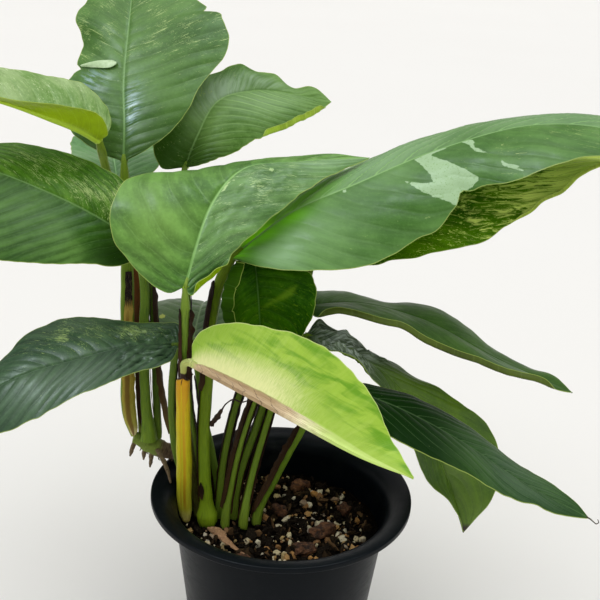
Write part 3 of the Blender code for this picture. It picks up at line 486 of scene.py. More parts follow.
LEAF_SHAPES = {
    "crown": {
        "veins": 15, "sweep": 0.075, "quilt": 0.75, "fleck": 0.36, "gloss": (0.34, 0.46),
        "rib": 0.7, "painted_shade_foot": (0.10, 0.6), "relief": 0.08, "painted_vein_shade": 0.38, "dash": 0.007, "thin": 15,
        "fine": 0.5, "silver": (0.42, 0.60, 0.66), "mist": (0.44, 0.58, 0.05), "thick": 0.50,
        "dots": 0.18,
        "bloom": [("right", 0.29, 0.13, 0.10, 0.10, 0.75), ("left", 0.44, 0.55, 0.05, 0.25, 0.6)],
        "sheen": [("right", 0.30, 0.12, 0.09, 0.10, 0.8), ("left", 0.42, 0.6, 0.05, 0.25, 0.7)],
        "nicks": [("left", 0.497, 0.011, 3.5), ("left", 0.60, 0.02, 0.8),
            ("right", 0.697, 0.010, 4.5), ("right", 0.665, 0.014, -1.2)],
        "waves": [("left", 6.0, 0.7, 0.1), ("right", 3.0, 0.5, 0.3)],
        "fleck_spots": [("left", 0.85, 0.6, 0.20, 0.6), ("left", 0.62, 0.7, 0.12, 0.4),
            ("right", 0.62, 0.5, 0.10, 0.6), ("right", 0.85, 0.3, 0.12, 0.5)],
    },
    "back_left": {
        "veins": 12, "sweep": 0.16, "quilt": 0.35, "fleck": 0.62, "dash": 0.03, "thin": 12,
        "dots": 0.20,
        "waves": [("left", 2.2, 0.4, 0.2), ("right", 2.0, 0.5, 0.6)],
    },
    "back_right": {
        "veins": 15, "sweep": (0.12, 0.30), "quilt": (0.7, 0.9), "fleck": 0.35,
        "pale_veins": (0.10, 0.60), "shine": 0.10, "vein_width": 0.5, "painted_shade_foot": (0.10, 0.9),
        "painted_vein_shade": 0.55, "dash": 0.04, "fine": 0.5,
        "bloom": [("left", 0.49, 0.26, 0.15, 0.42, 1.7), ("left", 0.68, 0.35, 0.12, 0.35, 1.0),
            ("right", 0.62, 0.30, 0.22, 0.40, 0.55)],
        "rolls": [("right", 0.42, 0.97, 3.0, 140)],
        "waves": [("left", 7.0, 0.8, 0.0)],
        "fleck_spots": [("left", 0.35, 0.7, 0.2, 0.4)],
    },
    "wide_left": {
        "veins": 14, "sweep": (0.36, 0.42), "quilt": (1.3, 0.5), "fleck": 0.05, "shine": 0.09,
        "painted_vein_shade": 0.72, "dash": 0.03, "thin": 13, "fine": 0.4,
        "tint": ((1.24, 1.20, 1.45), (1.80, 1.70, 1.15)), "painted_shade_foot": (0.02, 0.7), "thick": 0.58,
        "dots": 0.21,
        "fleck_spots": [("right", 0.3, 0.5, 0.3, 0.7), ("right", 0.12, 0.6, 0.2, 0.6),
            ("right", 0.60, 0.5, 0.3, 0.6)],
        "bloom": [("left", 0.45, 0.4, 0.3, 0.5, 0.22), ("left", 0.13, 0.80, 0.11, 0.45, -1.0)],
        "waves": [("left", 2.0, 0.5, 0.0), ("right", 2.0, 0.4, 0.5)],
    },
    "front": {
        "veins": 10, "under_shine": 0.06, "sweep": (0.25, 0.26), "quilt": (1.7, 0.9),
        "fleck": 0.06, "rib": 0.8, "relief": 0.06, "painted_vein_shade": 0.62, "dash": 0.018, "thin": 16,
        "fine": 0.55, "thick": 0.70,
        "painted_light_and_gloss": [("left", 0.25, 0.55, 0.09, 0.30, 0.16)],
        "rolls": [("right", -0.02, 0.25, 4.0, 150)],
        "tint": ((1.0, 1.02, 0.88), (1.0, 1.0, 1.08)),
        "bloom": [("right", 0.45, 0.5, 0.30, 0.6, 0.42), ("right", 0.85, 0.4, 0.3, 0.6, 0.55),
            ("left", 0.60, 0.95, 0.17, 0.60, -0.55)],
        "fleck_spots": [("right", 0.30, 0.45, 0.35, 0.9), ("right", 0.75, 0.5, 0.3, 0.9)],
        "patches": [("right", [(0.60, 0.30), (0.615, 0.26), (0.62, 0.34), (0.605, 0.38)]),
            ("right", [(0.42, 0.03), (0.47, 0.02), (0.475, 0.05), (0.43, 0.07)])],
        "crinkle": (0.22, 0.75, 1.0, "right"),
        "waves": [("right", 3.0, 0.5, 0.2), ("left", 1.5, 0.3, 0.2)],
    },
    # Painted light along the front leaf's edge, where that leaf's shade falls on this one.
    "long_right": {
        "veins": 16, "sweep": (0.24, 0.20), "quilt": (1.9, 0.6), "fleck": 0.16,
        "pale_veins": (1.0, 0.14), "rib": 0.95, "relief": 0.11,
        "tint": ((1.28, 1.16, 1.45), (0.95, 0.99, 0.90)), "painted_vein_shade": 0.5, "shine": 0.18,
        "vein_width": 0.30, "fine": 0.4,
        "bloom": [("right", 0.20, 0.35, 0.14, 0.5, 0.40), ("left", 0.42, 0.35, 0.16, 0.6, 0.55),
            ("right", 0.125, 0.62, 0.06, 0.30, 1.5), ("left", 0.75, 0.35, 0.16, 0.6, 0.4),
            ("right", 0.17, 0.40, 0.05, 0.18, 1.0), ("right", 0.42, 0.12, 0.12, 0.2, 0.35)],
        "painted_light_colour": (0.24, 0.76, 0.001), "silver": (0.235, 0.410, 0.185), "mist": (0.25, 0.70, 0.72),
        "painted_light_and_gloss": [("right", 0.035, 0.40, 0.045, 0.35, 1.0), ("left", 0.11, 0.05, 0.06, 0.3, 1.0),
            ("right", 0.07, 0.10, 0.05, 0.25, 1.0), ("right", 0.12, 0.12, 0.06, 0.18, 0.8),
            ("right", 0.20, 0.08, 0.05, 0.14, 0.7), ("right", 0.09, 0.05, 0.05, 0.15, 0.9),
            ("left", 0.20, 0.20, 0.06, 0.25, 0.4), ("left", 0.27, 0.30, 0.06, 0.3, 0.3)],
        "nicks": [("right", 0.468, 0.036, -4.0), ("right", 0.545, 0.014, 4.5),
            ("right", 0.585, 0.040, 4.0)],
        "patches": [("right", [(0.516, 0.02), (0.530, 0.00), (0.575, 0.04), (0.529, 0.09),
            (0.540, 0.28), (0.573, 0.66), (0.590, 0.88), (0.552, 1.00), (0.523, 1.00),
            (0.508, 0.84), (0.478, 0.57), (0.455, 0.27), (0.485, 0.46), (0.505, 0.55),
            (0.508, 0.44), (0.504, 0.25), (0.502, 0.12), (0.497, 0.03)]), ("right", [(0.592, 0.01),
            (0.614, 0.04), (0.612, 0.28), (0.632, 0.52), (0.605, 0.34), (0.602, 0.16)]),
            ("right", [(0.638, 0.61), (0.648, 0.72), (0.664, 0.80), (0.676, 0.93), (0.658, 0.84),
            (0.640, 0.74)]), ("right", [(0.336, 0.02), (0.346, 0.01), (0.345, 0.07),
            (0.336, 0.06)])],
        "fleck_spots": [("right", 0.85, 0.4, 0.14, 0.6), ("left", 0.9, 0.4, 0.12, 0.6),
            ("right", 0.655, 0.55, 0.03, 0.4), ("right", 0.56, 0.45, 0.02, 0.3)],
        "waves": [("left", 9.0, 0.5, 0.0), ("right", 2.6, 0.3, 0.35)],
    },
    "under_right": {
        "veins": 14, "sweep": 0.22, "quilt": 1.0, "fleck": 0.60, "marble": 0.52, "shine": 0.04,
        "marbling": (2.2, 0.62),
        "rolls": [("right", 0.55, 0.98, 0.9, 140)],
        "waves": [("right", 9.0, 0.9, 0.0)],
    },
    "hanging": {
        "veins": 11, "under_shine": 0.06, "sweep": 0.22, "quilt": 0.8, "fleck": 0.12,
        "marble": 0.54, "shine": 0.03, "rib": 0.35, "soft": True,
        "rolls": [("right", 0.05, 0.9, 6.0, 155)],
        "patches": [("left", [(0.41, 0.00), (0.375, 0.16), (0.312, 0.55), (0.310, 0.72),
            (0.355, 0.64), (0.378, 0.50), (0.390, 0.30), (0.42, 0.12)])],
        "waves": [("right", 7.0, 0.9, 0.0), ("left", 2.0, 0.6, 0.0)],
    },
    "right_back": {
        "veins": 13, "sweep": 0.26, "quilt": 0.12, "fleck": 0.04, "rib": 0.05, "relief": 0.02,
        "shine": 0.10, "groove": 0.15, "painted_vein_shade": 0.1,
        "bloom": [("right", 0.80, 0.4, 0.10, 0.6, 0.55), ("left", 0.15, 0.5, 0.14, 0.6, 0.65)],
        "rolls": [("right", 0.04, 0.97, 2.4, 150)],
    },
    "right_low": {
        "veins": 12, "sweep": 0.22, "quilt": 0.6, "fleck": 0.12, "tip": True, "painted_shade_foot": (0.26, 0.92),
        "rib": 0.5, "shine": 0.45, "silver": (0.58, 0.68, 0.58), "mist": (0.44, 0.58, 0.18),
        "relief": 0.3,
        "bloom": [("right", 0.17, 0.35, 0.12, 0.7, 0.8), ("left", 0.18, 0.4, 0.12, 0.7, 0.8)],
        "nicks": [("left", 0.10, 0.02, 1.0), ("right", 0.14, 0.02, 1.0)],
        "waves": [("left", 7.0, 0.7, 0.0), ("right", 5.0, 0.7, 0.2)],
        "crinkle": (0.0, 0.36, 3.4),
    },
    "right_front": {
        "veins": 11, "sweep": 0.34, "quilt": 0.6, "fleck": 0.06, "rib": 0.45, "painted_shade_foot": (0.36, 1.0),
        "shine": 0.03, "pale_veins": 0.4, "painted_vein_shade": 0.45,
        "bloom": [("right", 0.74, 0.4, 0.24, 0.7, 0.42), ("left", 0.74, 0.4, 0.24, 0.7, 0.42)],
        "waves": [("right", 2.0, 0.4, 0.2), ("left", 1.6, 0.4, 0.2)],
    },
    "left_low": {
        "veins": 14, "sweep": 0.20, "quilt": (0.9, 0.5), "fleck": 0.20, "rib": 0.1,
        "gloss": (0.30, 0.42), "painted_vein_shade": 0.72, "dash": 0.025, "thin": 14, "thick": 0.85,
        "dots": 0.20, "tint": ((0.88, 0.90, 0.88), (1.15, 1.12, 1.10)),
        "fleck_spots": [("right", 0.19, 0.55, 0.09, 0.45), ("right", 0.24, 0.5, 0.05, 0.4),
            ("right", 0.5, 0.5, 0.2, 0.4)],
        "bloom": [("left", 0.55, 0.5, 0.35, 0.6, 0.36)],
        "waves": [("left", 5.0, 0.4, 0.0), ("right", 3.0, 0.5, 0.3)],
        "crinkle": (0.02, 0.36, 1.5),
    },
    "yellow": {
        "veins": 17, "sweep": 0.06, "quilt": 0.4, "fleck": 0.0,
        "waves": [("right", 1.5, 0.3, 0.0), ("left", 1.5, 0.3, 0.5)],
    },
    "back_low": {
        "veins": 14, "sweep": 0.20, "quilt": 0.9, "fleck": 0.15, "pale_veins": 0.35,
        "patches": [("left", [(0.29, 0.76), (0.31, 0.73), (0.33, 0.82), (0.30, 0.87)])],
        "waves": [("left", 2.0, 0.5, 0.0), ("right", 2.0, 0.5, 0.5)],
    },
    "far_back": {
        "veins": 12, "sweep": 0.18, "quilt": 0.6, "fleck": 0.2,
        "waves": [("left", 2.0, 0.4, 0.0), ("right", 2.0, 0.4, 0.5)],
    },
}

# Each leaf's colours: light and dark of the upper side, and its underside.
LEAF_COLOURS = {
    "crown": ((0.106, 0.232, 0.044), (0.048, 0.136, 0.016), (0.17, 0.29, 0.03)),
    "back_left": ((0.400, 0.550, 0.235), (0.175, 0.330, 0.070), (0.36, 0.52, 0.008)),
    "back_right": ((0.175, 0.320, 0.080), (0.056, 0.155, 0.010), (0.55, 0.78, 0.066)),
    "wide_left": ((0.095, 0.210, 0.036), (0.028, 0.095, 0.006), (0.14, 0.26, 0.03)),
    "front": ((0.174, 0.352, 0.078), (0.056, 0.162, 0.018), (0.24, 0.38, 0.002)),
    "long_right": ((0.125, 0.265, 0.062), (0.058, 0.160, 0.022), (0.15, 0.27, 0.03)),
    "under_right": ((0.110, 0.270, 0.002), (0.022, 0.105, 0.0005), (0.36, 0.50, 0.04)),
    "hanging": ((0.046, 0.148, 0.001), (0.012, 0.060, 0.0006), (0.040, 0.120, 0.002)),
    "right_back": ((0.070, 0.155, 0.026), (0.038, 0.100, 0.012), (0.080, 0.120, 0.006)),
    "right_low": ((0.105, 0.205, 0.003), (0.045, 0.115, 0.002), (0.12, 0.22, 0.005)),
    "right_front": ((0.044, 0.114, 0.016), (0.007, 0.045, 0.002), (0.08, 0.16, 0.02)),
    "left_low": ((0.076, 0.150, 0.066), (0.017, 0.058, 0.022), (0.10, 0.18, 0.05)),
    "yellow": ((0.42, 0.62, 0.045), (0.24, 0.48, 0.020), (0.44, 0.60, 0.05)),
    "back_low": ((0.100, 0.172, 0.054), (0.042, 0.096, 0.026), (0.10, 0.17, 0.05)),
    "far_back": ((0.190, 0.385, 0.140), (0.105, 0.255, 0.085), (0.16, 0.27, 0.08)),
}
# Added to 0.55 of a leaf's light green, this gives the painted sheen's colour.
PAINTED_SHEEN = (0.16, 0.20, 0.17)
MARGIN = (0.36, 0.46, 0.10)
UNDER_MARGIN = (0.40, 0.52, 0.10)
DEAD_TIP = (0.03, 0.018, 0.01)
PALE_FLECK = (0.36, 0.50, 0.16)
PALE_PATCH = (0.38, 0.56, 0.31)
VARIEGATION = {
    "back_left": (0.64, 0.76, 0.42), "crown": (0.42, 0.56, 0.20),
    "wide_left": (0.44, 0.58, 0.20), "under_right": (0.80, 0.96, 0.20),
    "hanging": (0.11, 0.22, 0.008), "back_low": (0.42, 0.46, 0.08), "front": (0.44, 0.62, 0.27),
}
DEAD_FOLD = [(0.08, (0.56, 0.62, 0.18)), (0.12, (0.70, 0.52, 0.30)), (0.20, (0.50, 0.345, 0.18)),
             (0.48, (0.53, 0.38, 0.20)), (0.56, (0.76, 0.60, 0.36)), (0.62, (0.97, 0.92, 0.56)),
             (0.75, (0.74, 0.82, 0.34))]
LEAF_SLOTS = {"yellow": "leaf_yellow", "hanging": "leaf_dark", "right_back": "leaf_dark",
              "right_front": "leaf_dark", "left_low": "leaf_dark", "back_low": "leaf_dark"}

# Each stalk's colours from foot to top, how brown its fibres and scars are, and its dried
# margins: start, end, angle round the stalk from its front, half width.
STALK_LOOKS = {
    "crown": ([(0.0, (0.40, 0.42, 0.10)), (0.06, (0.20, 0.28, 0.03)), (0.25, (0.13, 0.22, 0.012)),
        (1.0, (0.14, 0.24, 0.015))], 0.3, []),
    "back_left": ([(0.0, (0.20, 0.26, 0.04)), (0.6, (0.16, 0.26, 0.03)),
        (1.0, (0.20, 0.30, 0.02))], 0.3, [(0.03, 0.72, 10, 1.7)]),
    "wide_left": ([(0.0, (0.13, 0.23, 0.02)), (0.5, (0.09, 0.18, 0.015)),
        (1.0, (0.13, 0.24, 0.03))], 0.2, [(0.10, 0.88, 100, 0.6)]),
    "far_back": ([(0.0, (0.09, 0.16, 0.02)), (0.5, (0.035, 0.10, 0.008)),
        (1.0, (0.08, 0.16, 0.02))], 0.3, [(0.30, 0.9, -75, 0.8)]),
    "back_right": ([(0.0, (0.14, 0.22, 0.03)),
        (1.0, (0.11, 0.20, 0.02))], 0.3, [(0.1, 0.7, 85, 0.7)]),
    "front": ([(0.0, (0.06, 0.035, 0.02)), (0.34, (0.06, 0.04, 0.02)), (0.42, (0.09, 0.18, 0.015)),
        (0.70, (0.08, 0.18, 0.012)), (0.88, (0.16, 0.27, 0.03)),
        (1.0, (0.26, 0.40, 0.06))], 0.1, []),
    "long_right": ([(0.0, (0.22, 0.34, 0.012)), (0.2, (0.15, 0.25, 0.008)),
        (1.0, (0.135, 0.22, 0.006))], 0.35, [(0.10, 0.62, -74, 1.5), (0.112, 0.180, -24, 1.2)]),
    "under_right": ([(0.0, (0.18, 0.27, 0.03)), (0.2, (0.14, 0.24, 0.02)),
        (1.0, (0.13, 0.22, 0.02))], 0.4, [(0.06, 0.75, 72, 0.8), (0.10, 0.7, -30, 0.6)]),
    "hanging": ([(0.0, (0.13, 0.22, 0.02)),
        (1.0, (0.13, 0.23, 0.02))], 0.5, [(0.05, 0.7, -70, 0.8), (0.05, 0.6, 60, 0.8)]),
    "right_back": ([(0.0, (0.18, 0.27, 0.03)), (0.2, (0.13, 0.23, 0.02)),
        (1.0, (0.12, 0.21, 0.02))], 0.4, [(0.06, 0.75, -76, 0.8), (0.08, 0.7, 70, 0.7)]),
    "right_low": ([(0.0, (0.20, 0.29, 0.03)), (0.2, (0.14, 0.25, 0.02)),
        (1.0, (0.12, 0.22, 0.015))], 0.4, [(0.05, 0.8, -74, 0.9), (0.12, 0.75, 40, 0.5)]),
    "right_front": ([(0.0, (0.18, 0.27, 0.03)), (0.2, (0.14, 0.26, 0.02)),
        (1.0, (0.12, 0.22, 0.02))], 0.2, [(0.05, 0.8, -70, 0.9)]),
    "left_low": ([(0.0, (0.10, 0.18, 0.02)),
        (1.0, (0.09, 0.17, 0.02))], 0.3, [(0.3, 0.9, 80, 0.7)]),
    "yellow": ([(0.0, (0.95, 0.74, 0.22)), (0.05, (0.90, 0.82, 0.22)), (0.10, (0.66, 0.66, 0.05)),
        (0.40, (0.55, 0.51, 0.015)), (0.84, (0.72, 0.44, 0.012)), (0.875, (0.40, 0.46, 0.14)),
        (1.0, (0.50, 0.62, 0.24))], 0.0, []),
    "back_low": ([(0.0, (0.15, 0.25, 0.03)),
        (1.0, (0.14, 0.26, 0.03))], 0.3, [(0.1, 0.8, -60, 0.7)]),
}

# Pale and deep streaks, fibres and spots of the stalks.
GREEN_STREAKS = ((0.28, 0.39, 0.020), (0.035, 0.07, 0.008))
YELLOW_STREAKS = ((0.60, 0.58, 0.012), (0.34, 0.17, 0.012))
BROWN_FIBRE = (0.085, 0.045, 0.018)
BROWN_SPOT = (0.10, 0.050, 0.022)
DARK_NOTCH = (0.035, 0.018, 0.012)
ORANGE_STRIPE = [(0.0, (0.42, 0.16, 0.010)), (0.10, (0.50, 0.27, 0.012)),
                 (0.7, (0.62, 0.36, 0.014)), (0.9, (0.60, 0.27, 0.012))]
REDDISH_DRY = [(0.0, (0.06, 0.03, 0.018)), (0.45, (0.07, 0.03, 0.016)), (0.62, (0.20, 0.07, 0.022)),
               (1.0, (0.24, 0.075, 0.022))]

# Colours of the dried sheaths, from their lower to their upper end, and of their fibres.
SHEATH_COLOURS = {
    # The cream at the crown's lowest end is partly the sheath's pale base and partly a painted
    # highlight.
    "crown": [(0.0, (0.74, 0.64, 0.34)), (0.06, (0.46, 0.42, 0.08)), (0.20, (0.40, 0.34, 0.05)),
        (0.35, (0.44, 0.33, 0.05)), (0.78, (0.56, 0.38, 0.08)), (0.82, (0.020, 0.011, 0.012)),
        (1.0, (0.014, 0.008, 0.010))],
    "far_back": [(0.0, (0.24, 0.15, 0.06)), (0.25, (0.11, 0.06, 0.024)),
        (0.6, (0.038, 0.018, 0.007)), (1.0, (0.026, 0.012, 0.006))],
    "front": [(0.0, (0.022, 0.011, 0.007)), (0.5, (0.055, 0.022, 0.010)),
        (1.0, (0.018, 0.009, 0.006))],
    "long_right": [(0.0, (0.060, 0.028, 0.010)), (0.4, (0.022, 0.010, 0.006)),
        (1.0, (0.012, 0.006, 0.005))],
    "under_right": [(0.0, (0.060, 0.030, 0.011)), (1.0, (0.022, 0.011, 0.005))],
    "right_front": [(0.0, (0.060, 0.030, 0.011)), (1.0, (0.024, 0.011, 0.005))],
}

CROWN_PAPER = ((0.62, 0.56, 0.22), (0.16, 0.085, 0.015))
CROWN_MIDDLE = (0.15, 0.068, 0.016)
DARK_PAPER = ((0.15, 0.070, 0.025), (0.006, 0.003, 0.002))

# Where each dried sheath lies: its stretch of the stalk, then its strips, with their facing,
# half angle in degrees and lift of the free edges.
SHEATH_LOOKS = {
    "crown": ((0.010, 0.62), [((0.36, -1.0, 0.0), 52, 0.2)]),
    "far_back": ((0.03, 0.62), [((1.0, -0.5, 0.0), 62, 0.9)]),
    "front": ((0.560, 0.906), [((-0.88, -0.52, 0.0), 42, 0.3), ((0.88, -0.44, 0.0), 42, 1.6)]),
    "long_right": ((0.52, 0.90), [((-1.0, -0.55, 0.0), 60, 0.7)]),
    "under_right": ((0.08, 0.60), [((-1.0, -0.5, 0.0), 48, 0.8)]),
    "right_front": ((0.08, 0.66), [((-1.0, -0.5, 0.0), 46, 0.8)]),
}
SHEATH_STATIONS = 80
CROWN_SHEATH_RADIUS = 3.7
# How much of its half angle a sheath spans: fractions along it, and the part spanned there.
PLAIN_TAPER = ([0, 0.08, 0.25, 0.85, 0.95, 1], [0.55, 0.9, 1.0, 0.8, 0.55, 0.12])
SHEATH_TAPERS = {
    "crown": ([0, 0.03, 0.08, 0.5, 0.8, 1], [0.3, 0.75, 1.0, 0.9, 0.55, 0.45]),
    "front": ([0, 0.14, 0.18, 0.5, 0.80, 0.96, 1], [1.8, 1.8, 1.0, 0.95, 0.75, 0.60, 0.2]),
}

# The stage and the windows are in metres, and the camera's place is in millimetres.
STAGE_HALF_WIDTH = 10.0
STAGE_NEAR, STAGE_BEND, BEND_RADIUS = -9.0, 8.0, 2.0
STAGE_TOP = 6.0
STAGE_TONES = ((0.815, 0.797, 0.766), (0.835, 0.822, 0.792))
OVERHEAD_STRENGTH = 2.0
OVERHEAD_ANGLE = 75.0
OVERHEAD_FROM = (-0.05, -0.15, 1.0)
# Each window's place, size and power.
WINDOWS = {"left_window": ((-0.96, -0.74, 1.92), 0.55, 26.0),
           "right_window": ((0.72, 0.10, 2.15), 0.9, 13.0)}
WINDOWS_FACE = (-0.05, 0.0, 0.25)
WINDOW_COLOUR = (0.80, 0.92, 1.0)
WORLD_COLOUR = (0.97, 0.985, 1.0, 1.0)
WORLD_STRENGTH = 0.515
CAMERA_PLACE = (4.9, -468.8, 413.5)
CAMERA_PITCH = 21.3
CAMERA_ROLL = 2.86
CAMERA_LENS = 60.0
CAMERA_SENSOR = 36.0
CAMERA_FAR = 50.0


def smooth_curve(points, fractions):
    """Points at these fractions of a smooth curve through all the given points."""
    points = np.asarray(points, float)
    knots = run_along(points)
    knots /= knots[-1]
    slopes = np.gradient(points, knots, axis=0)
    fractions = np.asarray(fractions, float)
    span = np.clip(np.searchsorted(knots, fractions, side="right") - 1, 0, len(knots) - 2)
    width = (knots[span + 1] - knots[span])[:, None]
    t = (fractions[:, None] - knots[span][:, None]) / width
    start, end = points[span], points[span + 1]
    return (
        (2 * t**3 - 3 * t**2 + 1) * start
        + (t**3 - 2 * t**2 + t) * width * slopes[span]
        + (3 * t**2 - 2 * t**3) * end
        + (t**3 - t**2) * width * slopes[span + 1]
    )


def run_along(points):
    """How far each point lies along the line through them all."""
    return np.concatenate([[0.0], np.cumsum(np.linalg.norm(np.diff(points, axis=0), axis=1))])


def unit(vector):
    return vector / np.maximum(np.linalg.norm(vector, axis=-1, keepdims=True), 1e-9)


def sheet_normal(sheet):
    """The upward direction at each point of a grid that runs along, then across."""
    return unit(np.cross(np.gradient(sheet, axis=1), np.gradient(sheet, axis=0)))


def rough(points, size, seed=0.0):
    """Smooth noise from about -1 to 1 at each point, with features of this size."""
    flat = np.asarray(points, float).reshape(-1, 3) / size + seed
    values = [noise.noise(Vector(point)) for point in flat]
    return np.array(values).reshape(np.shape(points)[:-1]) * NOISE_GAIN


def rough_along(run, size, seed, row=0.0):
    """Smooth noise along a line. Each row is another one."""
    return rough(np.stack([run, run * 0 + row, run * 0], 1), size, seed)


def bell(value, middle, half):
    return np.exp(-(((value - middle) / half) ** 2))


def ease(value, low, high):
    """0 below low, 1 above high and smooth between them."""
    t = np.clip((value - low) / (high - low), 0, 1)
    return t * t * (3 - 2 * t)


def around(forward, sideways, angle):
    """Directions round a line at an angle from its front."""
    front, side = np.cos(angle)[..., None], np.sin(angle)[..., None]
    return forward[:, None] * front + sideways[:, None] * side


def add_object(name, data):
    made = bpy.data.objects.new(name, data)
    bpy.context.scene.collection.objects.link(made)
    return made


def tone(colour, factor, more=0.0, most=1.0):
    """A colour made brighter or darker."""
    return tuple(min(most, factor * c + more) for c in colour)


class Field:
    """One socket of a material. Arithmetic on it adds the nodes that work it out."""

    def __init__(self, shader, socket):
        self.shader, self.socket = shader, socket

    def __add__(self, other):
        return self.shader.maths("ADD", self, other)

    def __sub__(self, other):
        return self.shader.maths("SUBTRACT", self, other)

    def __mul__(self, other):
        return self.shader.maths("MULTIPLY", self, other)

    def __abs__(self):
        return self.shader.maths("ABSOLUTE", self)

    def times_plus(self, factor, more):
        return self.shader.maths("MULTIPLY_ADD", self, factor, more)

    def at_least(self, other):
        return self.shader.maths("MAXIMUM", self, other)

    def step(self, low, high, start=0.0, end=1.0):
        """A smooth step from start to end, between low and high."""
        values = {"Value": self, "From Min": low, "From Max": high, "To Min": start, "To Max": end}
        return self.shader.add("ShaderNodeMapRange", {"interpolation_type": "SMOOTHSTEP"}, values)

    def ramp(self, stops):
        """A colour that runs through these stops as the field goes from 0 to 1."""
        made = self.shader.add("ShaderNodeValToRGB", {}, {0: self})
        elements = made.socket.node.color_ramp.elements
        while len(elements) < len(stops):
            elements.new(0.5)
        for element, (position, colour) in zip(elements, stops):
            element.position = position
            element.color = (*colour, 1.0)
        return made


class Shader:
    """One material. paint and emboss build up the colour and normal that done hands over."""

    def __init__(self, name):
        self.material = bpy.data.materials.new(name)
        self.material.use_nodes = True
        self.tree = self.material.node_tree
        self.surface = self.tree.nodes["Principled BSDF"]
        self.colour = self.normal = None
        self.position = self.add("ShaderNodeTexCoord", {}, {}, "Object")

    def feed(self, socket, value):
        if isinstance(value, Field):
            self.tree.links.new(value.socket, socket)
        elif isinstance(value, tuple) and socket.type == "RGBA":
            socket.default_value = (*value, 1.0)
        else:
            socket.default_value = value

    def add(self, kind, settings, values, output=0):
        made = self.tree.nodes.new(kind)
        for key, value in settings.items():
            setattr(made, key, value)
        for key, value in values.items():
            self.feed(made.inputs[key], value)
        return Field(self, made.outputs[output])

    def read(self, name):
        """The three numbers that the mesh carries at each point under this name."""
        return self.split(self.add("ShaderNodeAttribute", {"attribute_name": name}, {}, "Vector"))

    def split(self, vector):
        made = self.add("ShaderNodeSeparateXYZ", {}, {0: vector}).socket.node
        return [Field(self, socket) for socket in made.outputs[:3]]

    def join(self, x, y, z=0.0):
        return self.add("ShaderNodeCombineXYZ", {}, {0: x, 1: y, 2: z})

    def maths(self, operation, a, b=0.0, c=0.0):
        return self.add("ShaderNodeMath", {"operation": operation}, {0: a, 1: b, 2: c})

    def mix(self, factor, a, b, blend="MIX"):
        settings = {"data_type": "RGBA", "blend_type": blend}
        return self.add("ShaderNodeMix", settings, {0: factor, 6: a, 7: b}, 2)

    def grain(self, scale, detail=2.0, roughness=0.5, distortion=0.0, at=None):
        """Noise from 0 to 1, at the object's own position or at other coordinates."""
        values = {"Vector": at or self.position, "Scale": scale, "Detail": detail,
                  "Roughness": roughness, "Distortion": distortion}
        return self.add("ShaderNodeTexNoise", {}, values)

    def base(self, factor, a, b):
        self.colour = self.mix(factor, a, b)

    def paint(self, factor, colour):
        """Lays a colour over what is there, as strongly as the factor says."""
        self.colour = self.mix(factor, self.colour, colour)

    def emboss(self, height, distance, strength=1.0):
        values = {"Height": height, "Distance": distance * MM, "Strength": strength}
        if self.normal is not None:
            values["Normal"] = self.normal
        self.normal = self.add("ShaderNodeBump", {}, values)

    def done(self, roughness, specular):
        values = {"Base Color": self.colour, "Roughness": roughness, "Specular IOR Level": specular}
        if self.normal is not None:
            values["Normal"] = self.normal
        for key, value in values.items():
            self.feed(self.surface.inputs[key], value)
        return self.material


def make_mesh(name, points, faces, finishes, finish_of=None, fields=None, sharp=50):
    """A piece from points in millimetres. fields are its named numbers at each point."""
    mesh = bpy.data.meshes.new(name)
    mesh.from_pydata((np.asarray(points) * MM).tolist(), [], faces)
    for finish in finishes:
        mesh.materials.append(finish)
    if finish_of is not None:
        mesh.polygons.foreach_set("material_index", np.asarray(finish_of, np.int32))
    for key, values in (fields or {}).items():
        field = mesh.attributes.new(key, "FLOAT_VECTOR", "POINT")
        field.data.foreach_set("vector", np.asarray(values, np.float32).ravel())
    mesh.shade_smooth()
    mesh.set_sharp_from_angle(angle=math.radians(sharp))
    mesh.validate()
    return add_object(name, mesh)


def keep(piece, slot, *nodes):
    """The piece takes the place of these nodes. slot is not used."""
    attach(piece, "root")
    if nodes:
        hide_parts(*nodes)


def grid_faces(rows, columns, offset=0, closed=False, flip=False):
    """The faces of a grid of points, closed round its columns or open."""
    faces = []
    span = columns if closed else columns - 1
    for row in range(rows - 1):
        for column in range(span):
            a = offset + row * columns + column
            b = offset + row * columns + (column + 1) % columns
            face = (a, b, b + columns, a + columns)
            faces.append(face[::-1] if flip else face)
    return faces


def thick_sheet(middle, normal, above, below):
    """Points and faces of a closed sheet round a grid, and which faces aren't its upper side."""
    rows, columns = middle.shape[:2]
    top = middle + normal * above[..., None]
    bottom = middle - normal * below[..., None]
    points = np.concatenate([top.reshape(-1, 3), bottom.reshape(-1, 3)])
    count = rows * columns
    upper = grid_faces(rows, columns)
    faces = upper + grid_faces(rows, columns, count, flip=True)
    loop = [(0, c) for c in range(columns)] + [(r, columns - 1) for r in range(1, rows)]
    loop += [(rows - 1, c) for c in range(columns - 2, -1, -1)]
    loop += [(r, 0) for r in range(rows - 2, 0, -1)]
    ids = [r * columns + c for r, c in loop]
    for here, after in zip(ids, ids[1:] + ids[:1]):
        faces.append((here, here + count, after + count, after))
    return points, faces, [0] * len(upper) + [1] * (len(faces) - len(upper))


